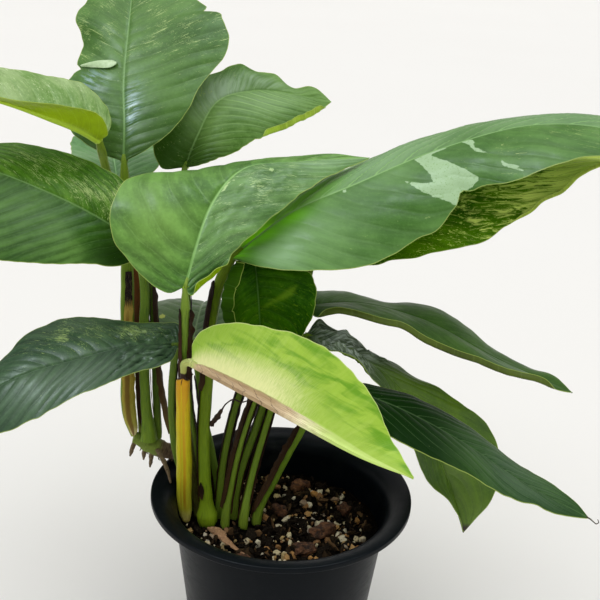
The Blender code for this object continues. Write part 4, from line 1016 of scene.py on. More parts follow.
def leaf_edge(name, side, midrib, along):
    """One margin, with its nicks and small ripples, and its distance from the midrib."""
    outline = np.asarray(BLADES[name][side], float)
    start = midrib[0] + unit(outline[0] - midrib[0]) * BASE_HALF_WIDTH
    end = midrib[-1] + unit(outline[-1] - midrib[-1]) * TIP_HALF_WIDTH
    rib = smooth_curve([start, *outline, end], along) - midrib
    width = np.linalg.norm(rib, axis=1)
    seed = len(name) * 7.3 + (3.1 if side == "left" else 0.0)
    change = 0.5 * rough_along(along * 60, 2.2, seed)
    change *= np.minimum(width / 12, 1)
    for where, half, depth in [n[1:] for n in LEAF_SHAPES[name].get("nicks", []) if n[0] == side]:
        change -= depth * bell(along, where, half)
    width = np.maximum(width + change, 0.3)
    return midrib + unit(rib) * width[:, None], width


def by_side(value, sign):
    """A value for each column of a leaf, from one number or from a left and a right one."""
    left, right = value if isinstance(value, tuple) else (value, value)
    return np.where(sign < 0, left, right)[None, :]


def half_of(side, sign):
    """Which columns of a leaf belong to one side of it, its midrib left out."""
    return ((sign < 0) if side == "left" else (sign > 0))[None, :]


def quilting(extra, flat, u, share, sign, phase, seed):
    """How far the leaf's surface rises between its side veins, in its waves and its creases."""
    body = ease(share, 0.0, 0.12) * ease(1 - share, 0.0, 0.15)
    body = body * ease(u, 0.0, 0.05) * ease(1 - u, 0.0, 0.12)
    body *= by_side(extra["quilt"], sign) * (0.70 + 0.40 * rough(flat, 17, seed * 2.3))
    height = (np.abs(np.sin(math.pi * phase)) ** 0.7 - 0.6) * body
    for side, count, size, start in extra.get("waves", []):
        wave = np.sin(math.tau * (count * u + start)) * share**3 * ease(u, 0.02, 0.15)
        height += size * wave * ease(1 - u, 0.0, 0.12) * half_of(side, sign)
    height += 0.5 * rough(flat, 26, seed) * ease(share, 0.0, 0.3)
    if "crinkle" in extra:
        start, end, size = extra["crinkle"][:3]
        zone = ease(u, start, start + 0.06) * ease(end - u, 0.0, 0.10)
        zone = zone * ease(share, 0.0, 0.3) * ease(1 - share, 0.0, 0.3)
        if "right" in extra["crinkle"]:
            zone = zone * (sign > 0)
        folds = np.stack([u * 16, share * sign[None, :] * 6, u * 0], axis=-1)
        height += size * (rough(folds, 1.0, 4.0) + 0.5 * rough(folds * 2.3, 1.0, 9.0)) * zone
    return height - extra.get("groove", 0.55) * bell(share * 40, 0, 1.2) * ease(1 - u, 0.0, 0.3)


def leaf_sheet(name):
    """A leaf's middle surface as a grid, with what its material reads at each point."""
    extra, seed = LEAF_SHAPES[name], len(name)
    along = np.linspace(0, 1, STATIONS)
    midrib = smooth_curve(BLADES[name]["midrib"], along**RIB_SWEEP)
    left, right = [leaf_edge(name, side, midrib, along) for side in ("left", "right")]
    upwards = unit(np.cross(right[0] - left[0], np.gradient(midrib, axis=0)))
    shares = np.linspace(0, 1, RIBS + 1) ** RIB_CROWDING
    halves = []
    for edge, width in (left, right):
        rib = (edge - midrib)[:, None]
        bulge = BLADES[name]["crown"] * np.sin(math.pi * shares)[None, :, None]
        bulge = bulge * width[:, None, None]
        halves.append(midrib[:, None] + rib * shares[None, :, None] + upwards[:, None] * bulge)
    flat = np.concatenate([halves[0][:, ::-1], halves[1][:, 1:]], axis=1)
    normal = sheet_normal(flat)
    share = np.concatenate([shares[::-1], shares[1:]])[None, :] * np.ones((STATIONS, 1))
    sign = np.concatenate([-np.ones(RIBS), [0], np.ones(RIBS)])
    u = along[:, None] * np.ones_like(share)
    phase = extra["veins"] * (u - by_side(extra["sweep"], sign) * share**1.35)
    phase = phase + by_side((0.37, 0.0), sign)
    phase += 0.20 * rough(flat, 28, seed * 1.7) * ease(share, 0.0, 0.25)
    sheet = flat + normal * quilting(extra, flat, u, share, sign, phase, seed)[..., None]
    wide = np.concatenate([-shares[::-1, None] * left[1], shares[1:, None] * right[1]]).T
    rim = (1 - share) * np.where(sign < 0, left[1][:, None], right[1][:, None])
    length = run_along(midrib)[-1]
    half_width = max(left[1].max(), right[1].max())
    masks = leaf_masks(extra, u, share, sign, length, half_width)
    place = np.stack([u, wide, phase], axis=-1)
    return add_rolls(extra, sheet, normal, place, masks, rim, share, along)


def inside_by(x, y, corners):
    """How far inside an outline each point lies, and less than 0 outside."""
    gap = np.full(x.shape, 1e9)
    inside = np.zeros(x.shape, bool)
    for (ax, ay), (bx, by) in zip(corners, corners[1:] + corners[:1]):
        dx, dy = bx - ax, by - ay
        t = np.clip(((x - ax) * dx + (y - ay) * dy) / (dx * dx + dy * dy + 1e-9), 0, 1)
        gap = np.minimum(gap, np.hypot(x - ax - t * dx, y - ay - t * dy))
        inside ^= ((ay > y) != (by > y)) & (x < ax + (y - ay) * dx / (dy if dy else 1e-9))
    return np.where(inside, gap, -gap)


def leaf_masks(extra, u, share, sign, length, half_width):
    """At each point: how far inside a patch, how flecked, its place across, painted sheen
    and shade, and painted light, which on the crown gives its glossier spots instead.
    """
    outside = -9.0
    patch = np.full_like(u, outside)
    fleck = np.full_like(u, extra["fleck"])
    middle_too = sign == 0
    for side, outline in extra.get("patches", []):
        corners = [(a * length, b * half_width) for a, b in outline]
        depth = inside_by(u * length, share * half_width, corners)
        patch = np.maximum(patch, np.where(half_of(side, sign) | middle_too, depth, outside))
    for side, where, middle, half, across in extra.get("fleck_spots", []):
        spot = bell(u, where, half) * bell(share, middle, across) * half_of(side, sign)
        fleck = np.maximum(fleck, fleck + extra.get("thick", 0.55) * spot)
    masks = [patch, fleck, share * np.where(sign < 0, -1, 1)]
    for spots in (extra.get("bloom", []), extra.get("painted_light_and_gloss", extra.get("sheen", []))):
        amount = np.zeros_like(u)
        for side, where, middle, half, across, strength in spots:
            spot = strength * bell(u, where, half) * bell(share, middle, across)
            spot = spot * (half_of(side, sign) | middle_too)
            amount = np.maximum(amount, spot) if strength > 0 else amount + spot
        masks.append(amount)
    return np.stack(masks, axis=-1)


def add_rolls(extra, sheet, normal, place, masks, rim, share, along):
    """Adds narrow columns at both margins, and rolls them over where the leaf's edge does."""
    steps = np.arange(1, ROLL_RIBS + 1) / ROLL_RIBS
    for side, last, inner in (("left", 0, 1), ("right", -1, -2)):
        amount = np.zeros(STATIONS)
        length, turn = 0.0, 0.0
        for start, end, size, angle in [r[1:] for r in extra.get("rolls", []) if r[0] == side]:
            amount = ease(along, start, start + 0.08) * ease(end - along, 0.0, 0.10)
            length, turn = size, math.radians(angle)
        edge = sheet[:, last]
        outwards = unit(edge - sheet[:, inner])
        padded = np.pad(outwards, ((EDGE_BLUR, EDGE_BLUR), (0, 0)), mode="edge")
        outwards = unit(sum(padded[i:i + STATIONS] for i in range(2 * EDGE_BLUR + 1)))
        up = unit(np.cross(outwards, np.gradient(edge, axis=0)))
        up *= np.sign(np.sum(up * normal[:, last], axis=1, keepdims=True))
        radius = ROLL_RADIUS * (0.3 + 0.7 * amount)
        most = abs(turn) * amount
        total = np.maximum(radius * most + length * amount, 0.25)
        columns = []
        for step in steps:
            gone = total * step
            angle = np.minimum(gone / radius, most)
            rest = np.maximum(gone - radius * most, 0)
            out = radius * np.sin(angle) + rest * np.cos(angle)
            rise = radius * (1 - np.cos(angle)) + rest * np.sin(angle)
            rise *= 1.0 if turn >= 0 else -1.0
            columns.append(edge + outwards * out[:, None] + up * rise[:, None])
        rim[:, half_columns(rim, side)] += total[:, None]
        grids = (sheet, place, masks, rim, share)
        added = [np.repeat(g[:, last:last + 1 or None], ROLL_RIBS, axis=1) for g in grids]
        added[0] = np.stack(columns, axis=1)
        added[3] = total[:, None] * (1 - steps)[None, :]
        if side == "left":
            grids = [np.concatenate([a[:, ::-1], g], axis=1) for a, g in zip(added, grids)]
        else:
            grids = [np.concatenate([g, a], axis=1) for a, g in zip(added, grids)]
        sheet, place, masks, rim, share = grids
    return grids


def half_columns(rim, side):
    """The columns of one half of a leaf; the right half is taken once the left is rolled."""
    if side == "left":
        return slice(None, rim.shape[1] // 2)
    return slice((rim.shape[1] + ROLL_RIBS) // 2, None)


class LeafShader(Shader):
    """A leaf's material, with its colours and settings, and the fields that its mesh carries."""

    def __init__(self, name, leaf):
        super().__init__(name)
        self.light, self.dark, self.under = LEAF_COLOURS[leaf]
        self.shape = {**LEAF_DEFAULTS, **LEAF_SHAPES[leaf]}
        self.u, across, self.phase = self.read("place")
        self.patch, self.fleck, self.share = self.read("masks")
        self.rim, self.bloom, self.painted_light_and_gloss = self.read("rim")
        self.away = abs(across)

    def streaks(self, length, *grain):
        """Noise that is drawn out along the side veins."""
        return self.grain(*grain, at=self.join(self.phase, self.away * length))

    def ridge(self):
        """0 on each side vein and 1 halfway between two."""
        return abs(self.maths("SINE", self.phase * math.pi))


def paint_greens(leaf, ridge):
    """Light and dark areas, painted shade in the grooves along the side veins, streaks and a fine
    mottle.
    """
    light, dark, painted_vein_shade, fine = leaf.light, leaf.dark, leaf.shape["painted_vein_shade"], leaf.shape["fine"]
    leaf.base(leaf.grain(34, 3, 0.55).step(0.34, 0.66), dark, light)
    # Painted shade in the grooves along the side veins, stronger in some places.
    uneven = leaf.grain(24, 2, 0.5).step(0.36, 0.64, 0.45 * painted_vein_shade, painted_vein_shade)
    leaf.paint((ridge * ridge).step(0.0, 1.0, 1.0, 0.0) * uneven, tone(dark, 0.6))
    streak = leaf.streaks(0.04, 5, 3, 0.55, 0.2)
    leaf.paint(streak.step(0.42, 0.68, 0.0, 0.40 * fine), tone(light, 1.35))
    shade = leaf.streaks(0.03, 1.5, 2, 0.5)
    leaf.paint(shade.step(0.42, 0.72, 0.0, 0.60 * fine), tone(dark, 0.75))
    mottle = leaf.grain(620, 3, 0.65)
    leaf.paint(mottle.step(0.50, 0.72, 0.0, 0.4 * fine), tone(light, 1.25, 0.01))
    leaf.paint(mottle.step(0.50, 0.30, 0.0, 0.3 * fine), tone(dark, 0.6))


def paint_blooms(leaf):
    """Painted shade over the foot, spots of painted sheen and of painted shade, spots of painted
    light, and a tint for each half.
    """
    light, dark, shape = leaf.light, leaf.dark, leaf.shape
    # Painted shade over the leaf's foot, fading out along it.
    if "painted_shade_foot" in shape:
        start, depth = shape["painted_shade_foot"]
        leaf.paint(leaf.u.step(start, start + 0.25, depth, 0.0), tone(dark, 0.5))
    # Painted sheen over spots, and painted shade where a spot's strength is below 0.
    if "bloom" in shape:
        misty = leaf.streaks(0.02, 5, 4, 0.6).step(*shape["mist"], 1.0)
        silver = tuple(0.55 * c + more for c, more in zip(light, PAINTED_SHEEN))
        leaf.paint(leaf.bloom.at_least(0.0) * misty, shape.get("silver", silver))
        leaf.paint(leaf.bloom.step(0.0, -1.0), tone(dark, 0.45))
    # Painted light over spots of the leaf.
    if "painted_light_and_gloss" in shape:
        leaf.paint(leaf.painted_light_and_gloss, shape.get("painted_light_colour", tone(light, 3.4, most=0.95)))
    # A tint for each half; on long_right the paler, bluer left half is a painted sheen.
    if "tint" in shape:
        tint = leaf.mix(leaf.share.step(-0.06, 0.06), *shape["tint"])
        leaf.colour = leaf.mix(1.0, leaf.colour, tint, "MULTIPLY")


def paint_veins(leaf, ridge):
    """Pale side veins, which fade before they reach the margin."""
    strength = leaf.shape["pale_veins"]
    if isinstance(strength, tuple):
        strength = leaf.share.step(-0.02, 0.02, *strength)
    veins = ridge.step(0.02, leaf.shape["vein_width"], 1.0, 0.0) * leaf.rim.step(3.0, 9.0)
    veins = veins * strength
    if leaf.shape["vein_width"] != LEAF_DEFAULTS["vein_width"]:
        veins = veins * leaf.bloom.step(0.0, 0.5, 0.35, 1.0)
    leaf.paint(veins, tone(leaf.light, 1.55, 0.065))


def paint_flecks(leaf, pale):
    """Fine dust, dashes along the veins and, on some leaves, short crisp dots."""
    shape = leaf.shape
    dust = leaf.streaks(0.05, 18, 5, 0.7, 0.6)
    dash = leaf.streaks(shape["dash"], shape["thin"], 6, 0.62, 1.2)
    amount = leaf.fleck * leaf.grain(85, 4, 0.65).step(0.30, 0.66, 0.30, 1.0)
    dusted = amount.times_plus(0.16, dust).step(0.66, 0.76, 0.0, 0.32)
    dashed = amount.times_plus(0.20, dash).step(0.718, 0.742, 0.0, 0.9)
    if "dots" in shape:
        dots = amount.times_plus(shape["dots"], leaf.streaks(0.045, 13, 2, 0.5, 0.9))
        dashed = dots.step(0.80, 0.83, 0.0, 0.85).at_least(dashed)
    leaf.paint(dusted.at_least(dashed), pale)


def paint_marbling(leaf, pale):
    """Large pale streaks that grow stronger towards the tip, broken by dark ones."""
    size, gain = leaf.shape["marbling"]
    start = leaf.shape["marble"]
    marble = leaf.u.times_plus(gain, leaf.streaks(0.075, size, 6, 0.70, 1.6) - gain / 2)
    leaf.paint(marble.step(start, start + 0.14, 0.0, 0.8), pale)
    leaf.paint(leaf.streaks(0.05, 6.5, 4, 0.6, 1.2).step(0.58, 0.66, 0.0, 0.5), leaf.dark)


def paint_patches(leaf, pale):
    """Pale patches with ragged outlines and green specks."""
    torn = leaf.streaks(0.035, 6, 5, 0.7) * 0.55 + leaf.grain(330, 6, 0.7) * 0.45
    ragged = torn.times_plus(3.4, leaf.patch)
    soft = "soft" in leaf.shape
    patched = ragged.step(0.9, 3.4, 0.0, 0.8) if soft else ragged.step(1.45, 1.85)
    specks = leaf.grain(950, 4, 0.7).step(0.53, 0.66, 0.0, 0.55)
    leaf.paint(patched, leaf.mix(specks, pale, tone(leaf.light, 1.2)))


def leaf_top(name):
    """Upper side: greens, painted shade, sheen and light, veins, flecks, patches, midrib, margin
    and fine relief.
    """
    leaf = LeafShader("leaf_top_" + name, name)
    shape, ridge = leaf.shape, leaf.ridge()
    paint_greens(leaf, ridge)
    paint_blooms(leaf)
    paint_veins(leaf, ridge)
    pale = VARIEGATION.get(name, PALE_FLECK)
    paint_flecks(leaf, pale)
    if "marble" in shape:
        paint_marbling(leaf, pale)
    paint_patches(leaf, VARIEGATION.get(name, PALE_PATCH))
    strong = shape["rib"]
    line = leaf.u.times_plus(0.35, leaf.away).step(0.35, 0.60 + 0.6 * strong, strong, 0.0)
    leaf.paint(line, tone(leaf.light, 1.45, 0.07))
    leaf.paint(leaf.rim.step(0.15, 0.55, 0.75, 0.0), MARGIN)
    if "tip" in shape:
        leaf.paint(leaf.u.step(0.965, 0.985), DEAD_TIP)
    leaf.emboss(ridge.step(0.0, 0.45), shape["relief"], 0.5)
    leaf.emboss(leaf.grain(210, 3, 0.6), 0.30, 0.5)
    leaf.emboss(leaf.grain(1300, 3, 0.6), 0.05, 0.5)
    gloss = leaf.grain(90, 3, 0.6).step(0.3, 0.7, *shape["gloss"])
    if "sheen" in shape:
        gloss = leaf.painted_light_and_gloss.times_plus(-0.20, gloss)
    return leaf.done(gloss, shape["shine"])


def leaf_under(name):
    """Underside: duller and yellower, with raised pale veins."""
    leaf = LeafShader("leaf_under_" + name, name)
    under = leaf.under
    leaf.base(leaf.grain(40, 3, 0.55).step(0.35, 0.65), tone(under, 0.62), under)
    leaf.paint(leaf.streaks(0.035, 8, 5, 0.6).step(0.4, 0.7, 0.0, 0.4), tone(under, 1.25))
    leaf.paint(leaf.ridge().step(0.0, 0.16, 0.35, 0.0), tone(under, 1.3, 0.03))
    leaf.paint(leaf.away.step(0.8, 2.0, 0.8, 0.0), tone(under, 1.35, 0.04))
    leaf.paint(leaf.rim.step(0.12, 0.45, 0.7, 0.0), UNDER_MARGIN)
    leaf.emboss(leaf.streaks(0.035, 14, 5, 0.6), 0.35, 0.6)
    return leaf.done(0.50, leaf.shape["under_shine"])


def yellow_page(name):
    """The ageing leaf: lime with green blotches, fine cross streaks and a dead brown fold."""
    leaf = LeafShader(name, "yellow")
    u, away, off = leaf.u, leaf.away, abs(leaf.share)
    blotch = leaf.grain(1.35, 3.2, 0.5, 0.8, at=leaf.join(u * 5.5, away * 0.15))
    greener = u.times_plus(0.16, blotch).step(0.48, 0.74) * off.step(0.20, 0.70, 0.05, 1.0)
    leaf.base(greener, (0.36, 0.575, 0.046), (0.150, 0.360, 0.006))
    top_left = u.step(0.10, 0.42, 0.60, 0.0) * off.step(0.45, 0.90)
    leaf.paint(top_left, (0.24, 0.44, 0.020))
    rows = leaf.streaks(0.02, 2.2, 3, 0.5, 0.2)
    leaf.paint(rows.step(0.48, 0.70, 0.0, 0.16), (0.60, 0.78, 0.16))
    leaf.paint(rows.step(0.50, 0.30, 0.0, 0.08), (0.22, 0.43, 0.010))
    fine = leaf.streaks(0.012, 17, 3, 0.6)
    near_rib = off.step(0.14, 0.78, 0.80, 0.05) * u.step(0.38, 0.64, 1.0, 0.06)
    leaf.paint(fine.step(0.36, 0.62) * near_rib, (0.94, 0.96, 0.46))
    cream = leaf.grain(60, 2, 0.5).times_plus(0.12, off).step(0.26, 0.74, 0.85, 0.0)
    leaf.paint(cream * u.step(0.60, 0.34, 0.04, 1.0), (0.93, 0.95, 0.44))
    pale_strip = off.step(0.12, 0.17, 0.85, 0.0) * u.step(0.50, 0.62)
    leaf.paint(pale_strip, (0.60, 0.78, 0.20))
    ragged = leaf.grain(320, 3, 0.6).times_plus(0.025, off)
    wander = leaf.grain(140, 4, 0.7).times_plus(0.10, u)
    band = ragged.step(0.135, 0.150, 1.0, 0.0) * wander.step(0.60, 0.78, 1.0, 0.0)
    grey = leaf.grain(2.0, 5, 0.65, at=leaf.join(u * 9.0, away)).step(0.4, 0.7, 0.0, 0.7)
    dead = leaf.mix(grey, wander.ramp(DEAD_FOLD), (0.33, 0.20, 0.105))
    slant = leaf.grain(120, 3, 0.6).times_plus(2.2, u * 13.0 + away * 0.22)
    crack = abs(leaf.maths("FRACT", slant) - 0.5).step(0.010, 0.040, 0.85, 0.0)
    dead = leaf.mix(crack * wander.step(0.50, 0.60, 1.0, 0.0), dead, (0.075, 0.040, 0.020))
    leaf.paint(band, dead)
    seam = abs(ragged - 0.148).step(0.004, 0.014, 0.6, 0.0)
    leaf.paint(seam * wander.step(0.45, 0.58, 1.0, 0.0), (0.30, 0.22, 0.06))
    leaf.paint(leaf.rim.step(0.2, 0.6, 0.75, 0.0), (0.62, 0.74, 0.26))
    leaf.emboss(fine, 0.30, 0.5)
    leaf.emboss(leaf.grain(700, 3, 0.6), 0.08, 0.5)
    return leaf.done(0.42, 0.32)


def make_leaf(name):
    sheet, place, masks, rim, share = leaf_sheet(name)
    thick = LEAF_THICKNESS - (LEAF_THICKNESS - MARGIN_THICKNESS) * share**4
    u, across = place[..., 0], place[..., 1]
    keel = (1.5 * (1 - u) ** 1.3 + 0.25) * np.exp(-((across / (1.9 - 1.2 * u)) ** 2))
    keel = keel * ease(1 - u, 0.0, 0.1)
    points, faces, sides = thick_sheet(sheet, sheet_normal(sheet), thick / 2, thick / 2 + keel)
    # The rim field also carries the painted sheen and shade, and the painted light, which on the
    # crown gives its glossier spots instead.
    grids = {"place": place, "masks": masks[..., :3],
             "rim": np.concatenate([rim[..., None], masks[..., 3:]], axis=-1)}
    fields = {key: np.concatenate([grid.reshape(-1, 3)] * 2) for key, grid in grids.items()}
    if name == "yellow":
        finishes = [yellow_page("leaf_page_inner"), yellow_page("leaf_page_outer")]
    else:
        finishes = [leaf_top(name), leaf_under(name)]
    piece = make_mesh("leaf_" + name, points, faces, finishes, sides, fields, sharp=60)
    keep(piece, LEAF_SLOTS.get(name, "leaf_green"), "blade_" + name)


def stalk_course(name, into_blade=False):
    """Points, radii and fractions of a stalk, which can be carried on into its blade."""
    stalk, midrib = STALKS[name], BLADES[name]["midrib"]
    foot = np.array(stalk["foot"], float) + (0, 0, SEAT_GAP)
    route = [foot, foot + (0, 0, STRAIGHT_FOOT), *np.array(stalk["route"], float), midrib[0]]
    fractions = np.linspace(0, 1, STALK_STATIONS)
    points = smooth_curve(route, fractions)
    if into_blade:
        points = np.concatenate([points[:-1], smooth_curve(midrib, np.linspace(0.004, 0.03, 5))])
        fractions = np.concatenate([fractions[:-1], np.linspace(1.0, 1.02, 5)])
    low, thick = stalk["foot_radius"], stalk["radius"]
    foot_radii = [low * 0.86, low * 1.08, low * 1.10, (low + thick) / 2]
    shaft_radii = [thick * part for part in (1.0, 0.92, 0.84, 0.86, 0.72, 0.45)]
    radii = np.interp(fractions, STALK_KNOTS, foot_radii + shaft_radii)
    slim = 0.5 * (low + thick)
    plain_foot = (0.16, [0.0, 0.02, 0.16], [0.9 * slim, slim, thick])
    end, knots, sizes = STALK_FEET.get(name, plain_foot)
    radii = np.where(fractions < end, np.interp(fractions, knots, sizes), radii)
    if name in ("crown", "front"):
        slender = thick * np.array([0.84, 0.62, 0.40, 0.25])
        top = np.interp(fractions, [0.90, 0.96, 1.0, 1.02], slender)
        radii = np.where(fractions > 0.90, top, radii)
    if name == "yellow":
        points[:, 0] += np.where(fractions < 0.12, 0.6 * (4.1 - radii), 0.0)
        points[:, 0] -= 1.6 * (1 - ease(fractions, 0.0, 0.40))
    return points, radii, fractions


def axes_along(points, facing):
    """Directions along a line, towards its front and to its side, at each point."""
    tangent = unit(np.gradient(points, axis=0))
    facing = np.array(facing, float)
    forward = unit(facing - tangent * (tangent @ facing)[:, None])
    return tangent, forward, np.cross(tangent, forward)


def run_fields(gone, turn):
    """The length, turn and fraction that a tube or strip carries at each point."""
    grids = np.broadcast_arrays(gone[:, None], turn[None, :] * 1.0, (gone / gone[-1])[:, None])
    return np.stack(grids, axis=-1).reshape(-1, 3)


def tube(points, radii, sides, facing=(0.0, -1.0, 0.0), shape=None):
    """Points and faces of a closed tube, with length, turn and fraction at each point."""
    tangent, forward, sideways = axes_along(points, facing)
    turn = np.linspace(0, math.tau, sides, endpoint=False)
    gone = run_along(points)
    size = radii[:, None] * np.ones(sides)[None, :]
    if shape is not None:
        size = size * shape(gone[:, None], turn[None, :])
    rows = len(points)
    rings = points[:, None] + around(forward, sideways, turn[None, :]) * size[..., None]
    verts, fields = [rings.reshape(-1, 3)], [run_fields(gone, turn)]
    faces = grid_faces(rows, sides, closed=True)
    count = rows * sides
    for end, ring, order in ((0, 0, -1), (-1, (rows - 1) * sides, 1)):
        verts.append(points[end][None] + tangent[end][None] * (0.25 * radii[end] * order))
        fields.append(np.array([[gone[end], 0.0, gone[end] / gone[-1]]]))
        faces += [(ring + side, ring + (side + 1) % sides, count)[::order] for side in range(sides)]
        count += 1
    return np.concatenate(verts), faces, np.concatenate(fields)


def hugging_strip(points, radii, facing, half_angle, clearance, thickness, lift, seed, spans=8):
    """A thin closed strip that lies round part of a stalk, with wavy lifted edges."""
    _, forward, sideways = axes_along(points, facing)
    across = np.linspace(-1, 1, spans + 1)
    gone = run_along(points)
    edges = [rough_along(gone / 4.0, 1.0, seed), rough_along(gone / 5.0, 1.0, seed, 9)]
    angle, rise = np.empty((2, len(points), spans + 1))
    for column, step in enumerate(across):
        edge = edges[0] if step < 0 else edges[1]
        angle[:, column] = half_angle * step * (1 + 0.11 * edge * abs(step))
        rise[:, column] = clearance + lift * abs(step) ** 3 * (0.7 + 0.8 * edge)
    rise = np.maximum(rise, clearance * 0.6)
    outward = around(forward, sideways, angle)
    middle = points[:, None] + outward * (radii[:, None] + rise + thickness / 2)[..., None]
    half = np.full(angle.shape, thickness / 2)
    verts, faces, _ = thick_sheet(middle, outward, half, half)
    return verts, faces, np.concatenate([run_fields(gone, across)] * 2)


def joined(parts):
    """Several sets of points, faces and fields as one, with the number of each part's finish."""
    verts, faces, fields, finish_of = [], [], [], []
    base = 0
    for number, (points, corners, field) in parts:
        verts.append(points)
        fields.append(field)
        faces += [tuple(c + base for c in face) for face in corners]
        finish_of += [number] * len(corners)
        base += len(points)
    return np.concatenate(verts), faces, np.concatenate(fields), finish_of


def run_piece(name, slot, nodes, parts, finishes, sharp=70):
    """One piece of tubes and strips, whose finishes read how far along them each point is."""
    verts, faces, fields, finish_of = joined(parts)
    piece = make_mesh(name, verts, faces, finishes, finish_of, {"run": fields}, sharp)
    keep(piece, slot, *nodes)


def cut(points, radii, fractions, start, end, count):
    """The stretch of a line between two fractions."""
    wanted = np.linspace(start, end, count)
    line = np.stack([np.interp(wanted, fractions, points[:, axis]) for axis in range(3)], axis=1)
    return line, np.interp(wanted, fractions, radii)


def paint_yellow_stalk(shader, turn, fraction, lengthwise):
    """An orange stripe up the front, and the dark notch below the leaf."""
    front = abs(shader.maths("PINGPONG", turn, math.pi) - 0.12)
    wander = front + shader.grain(3.0, 3, 0.5, at=lengthwise) * 0.25
    wide = fraction.step(0.66, 0.84, 0.0, 1.1)
    stripe = (wander - wide).step(0.26, 0.50, 1.0, 0.0) * fraction.step(0.06, 0.16)
    stripe = stripe * fraction.step(0.870, 0.880, 1.0, 0.0)
    shader.paint(stripe * 0.9, fraction.ramp(ORANGE_STRIPE))
    notch = front.times_plus(0.012, fraction)
    shader.paint(notch.step(0.846, 0.852) * fraction.step(0.874, 0.884, 1.0, 0.0), DARK_NOTCH)


def stalk_finish(name):
    """Green with paler and darker streaks, brown fibres and spots."""
    stops, scars, _ = STALK_LOOKS[name]
    shader = Shader("stalk_" + name + "_skin")
    gone, turn, fraction = shader.read("run")
    pale, deep = YELLOW_STREAKS if name == "yellow" else GREEN_STREAKS
    lengthwise = shader.join(gone * 0.03, turn * 1.4)
    shader.colour = fraction.ramp(stops)
    shader.paint(shader.grain(5.5, 4, 0.6, at=lengthwise).step(0.34, 0.68) * 0.40, pale)
    shader.paint(shader.grain(3.1, 3, 0.6, at=lengthwise).step(0.5, 0.7, 0.0, 0.45), deep)
    if name == "yellow":
        paint_yellow_stalk(shader, turn, fraction, lengthwise)
    else:
        fibres = shader.grain(7.5, 5, 0.65, 0.3, at=shader.join(gone * 0.012, turn))
        shader.paint(fibres.step(0.58, 0.66, 0.0, scars), BROWN_FIBRE)
    spots = shader.grain(3.4, 5, 0.7, at=shader.join(gone * 0.16, turn, 0.3))
    shader.paint(spots.step(0.72 - 0.10 * scars, 0.80 - 0.08 * scars, 0.0, 0.85), BROWN_SPOT)
    shader.emboss(shader.grain(14, 4, 0.6, at=lengthwise), 0.35, 0.6)
    shader.emboss(shader.grain(1500, 2, 0.5), 0.04, 0.4)
    return shader.done(0.42, 0.15)


def dried_finish(name, stops):
    """Papery dried tissue with fibres along it, and on the crown's sheath a brown middle."""
    shader = Shader(name)
    gone, across, fraction = shader.read("run")
    crown = "crown" in name
    pale, deep = CROWN_PAPER if crown else DARK_PAPER
    fibres = shader.grain(4.0, 6, 0.7, 0.3, at=shader.join(gone * 0.05, across * 2.2))
    shader.colour = (fraction + (fibres - 0.5) * 0.22).ramp(stops)
    shader.paint(fibres.step(0.54, 0.70, 0.0, 0.45), pale)
    shader.paint(fibres.step(0.45, 0.32, 0.0, 0.7), deep)
    if crown:
        middle = abs(fibres.times_plus(0.5, across)).step(0.20, 0.50, 0.8, 0.0)
        shader.paint(middle * fraction.step(0.68, 0.80, 1.0, 0.0), CROWN_MIDDLE)
    shader.emboss(fibres, 0.5, 0.8)
    return shader.done(0.60, 0.07)


def stalk_shape(name):
    """The stalk's section: a shallow groove up its front with two soft edges."""
    depth = 0.16 if name == "yellow" else 0.11
    seed = len(name) * 3.7

    def shape(gone, turn):
        off = np.minimum(turn, math.tau - turn)
        ribs = 0.012 * np.sin(11 * turn + seed)
        swell = 0.035 * np.sin(gone * 0.11 + seed) + 0.02 * np.sin(gone * 0.37 + turn + seed)
        return 1 - depth * bell(off, 0, 0.42) + 0.05 * bell(off, 0.75, 0.25) + ribs + swell

    return shape


def make_stalk(name):
    """A stalk and the dried margins that lie along it."""
    points, radii, fractions = stalk_course(name, into_blade=True)
    parts = [(0, tube(points, radii, STALK_SIDES, shape=stalk_shape(name)))]
    along = np.linspace(0, 1, MARGIN_STATIONS)
    for number, (start, end, angle, half) in enumerate(STALK_LOOKS[name][2]):
        line, size = cut(points, radii, fractions, start, end, MARGIN_STATIONS)
        turn = math.radians(angle)
        facing = (math.sin(turn), -math.cos(turn), 0.0)
        taper = np.interp(along, [0, 0.06, 0.5, 0.94, 1], [0.2, 0.9, 1.0, 0.8, 0.15])
        if end - start < SHORT_SCAR:
            taper = 0.1 + 0.8 * np.sin(math.pi * along)
        parts.append((1, hugging_strip(line, size * 1.06, facing, half / size * taper * 1.25,
                                       0.10, 0.25, 0.3, number * 5 + len(name))))
    dry = REDDISH_DRY if name == "back_left" else SHEATH_COLOURS["long_right"]
    finishes = [stalk_finish(name), dried_finish("stalk_" + name + "_dried", dry)]
    slot = "stalk_yellow" if name == "yellow" else "stalk_green"
    run_piece("petiole_" + name, slot, ["stalk_" + name], parts, finishes)


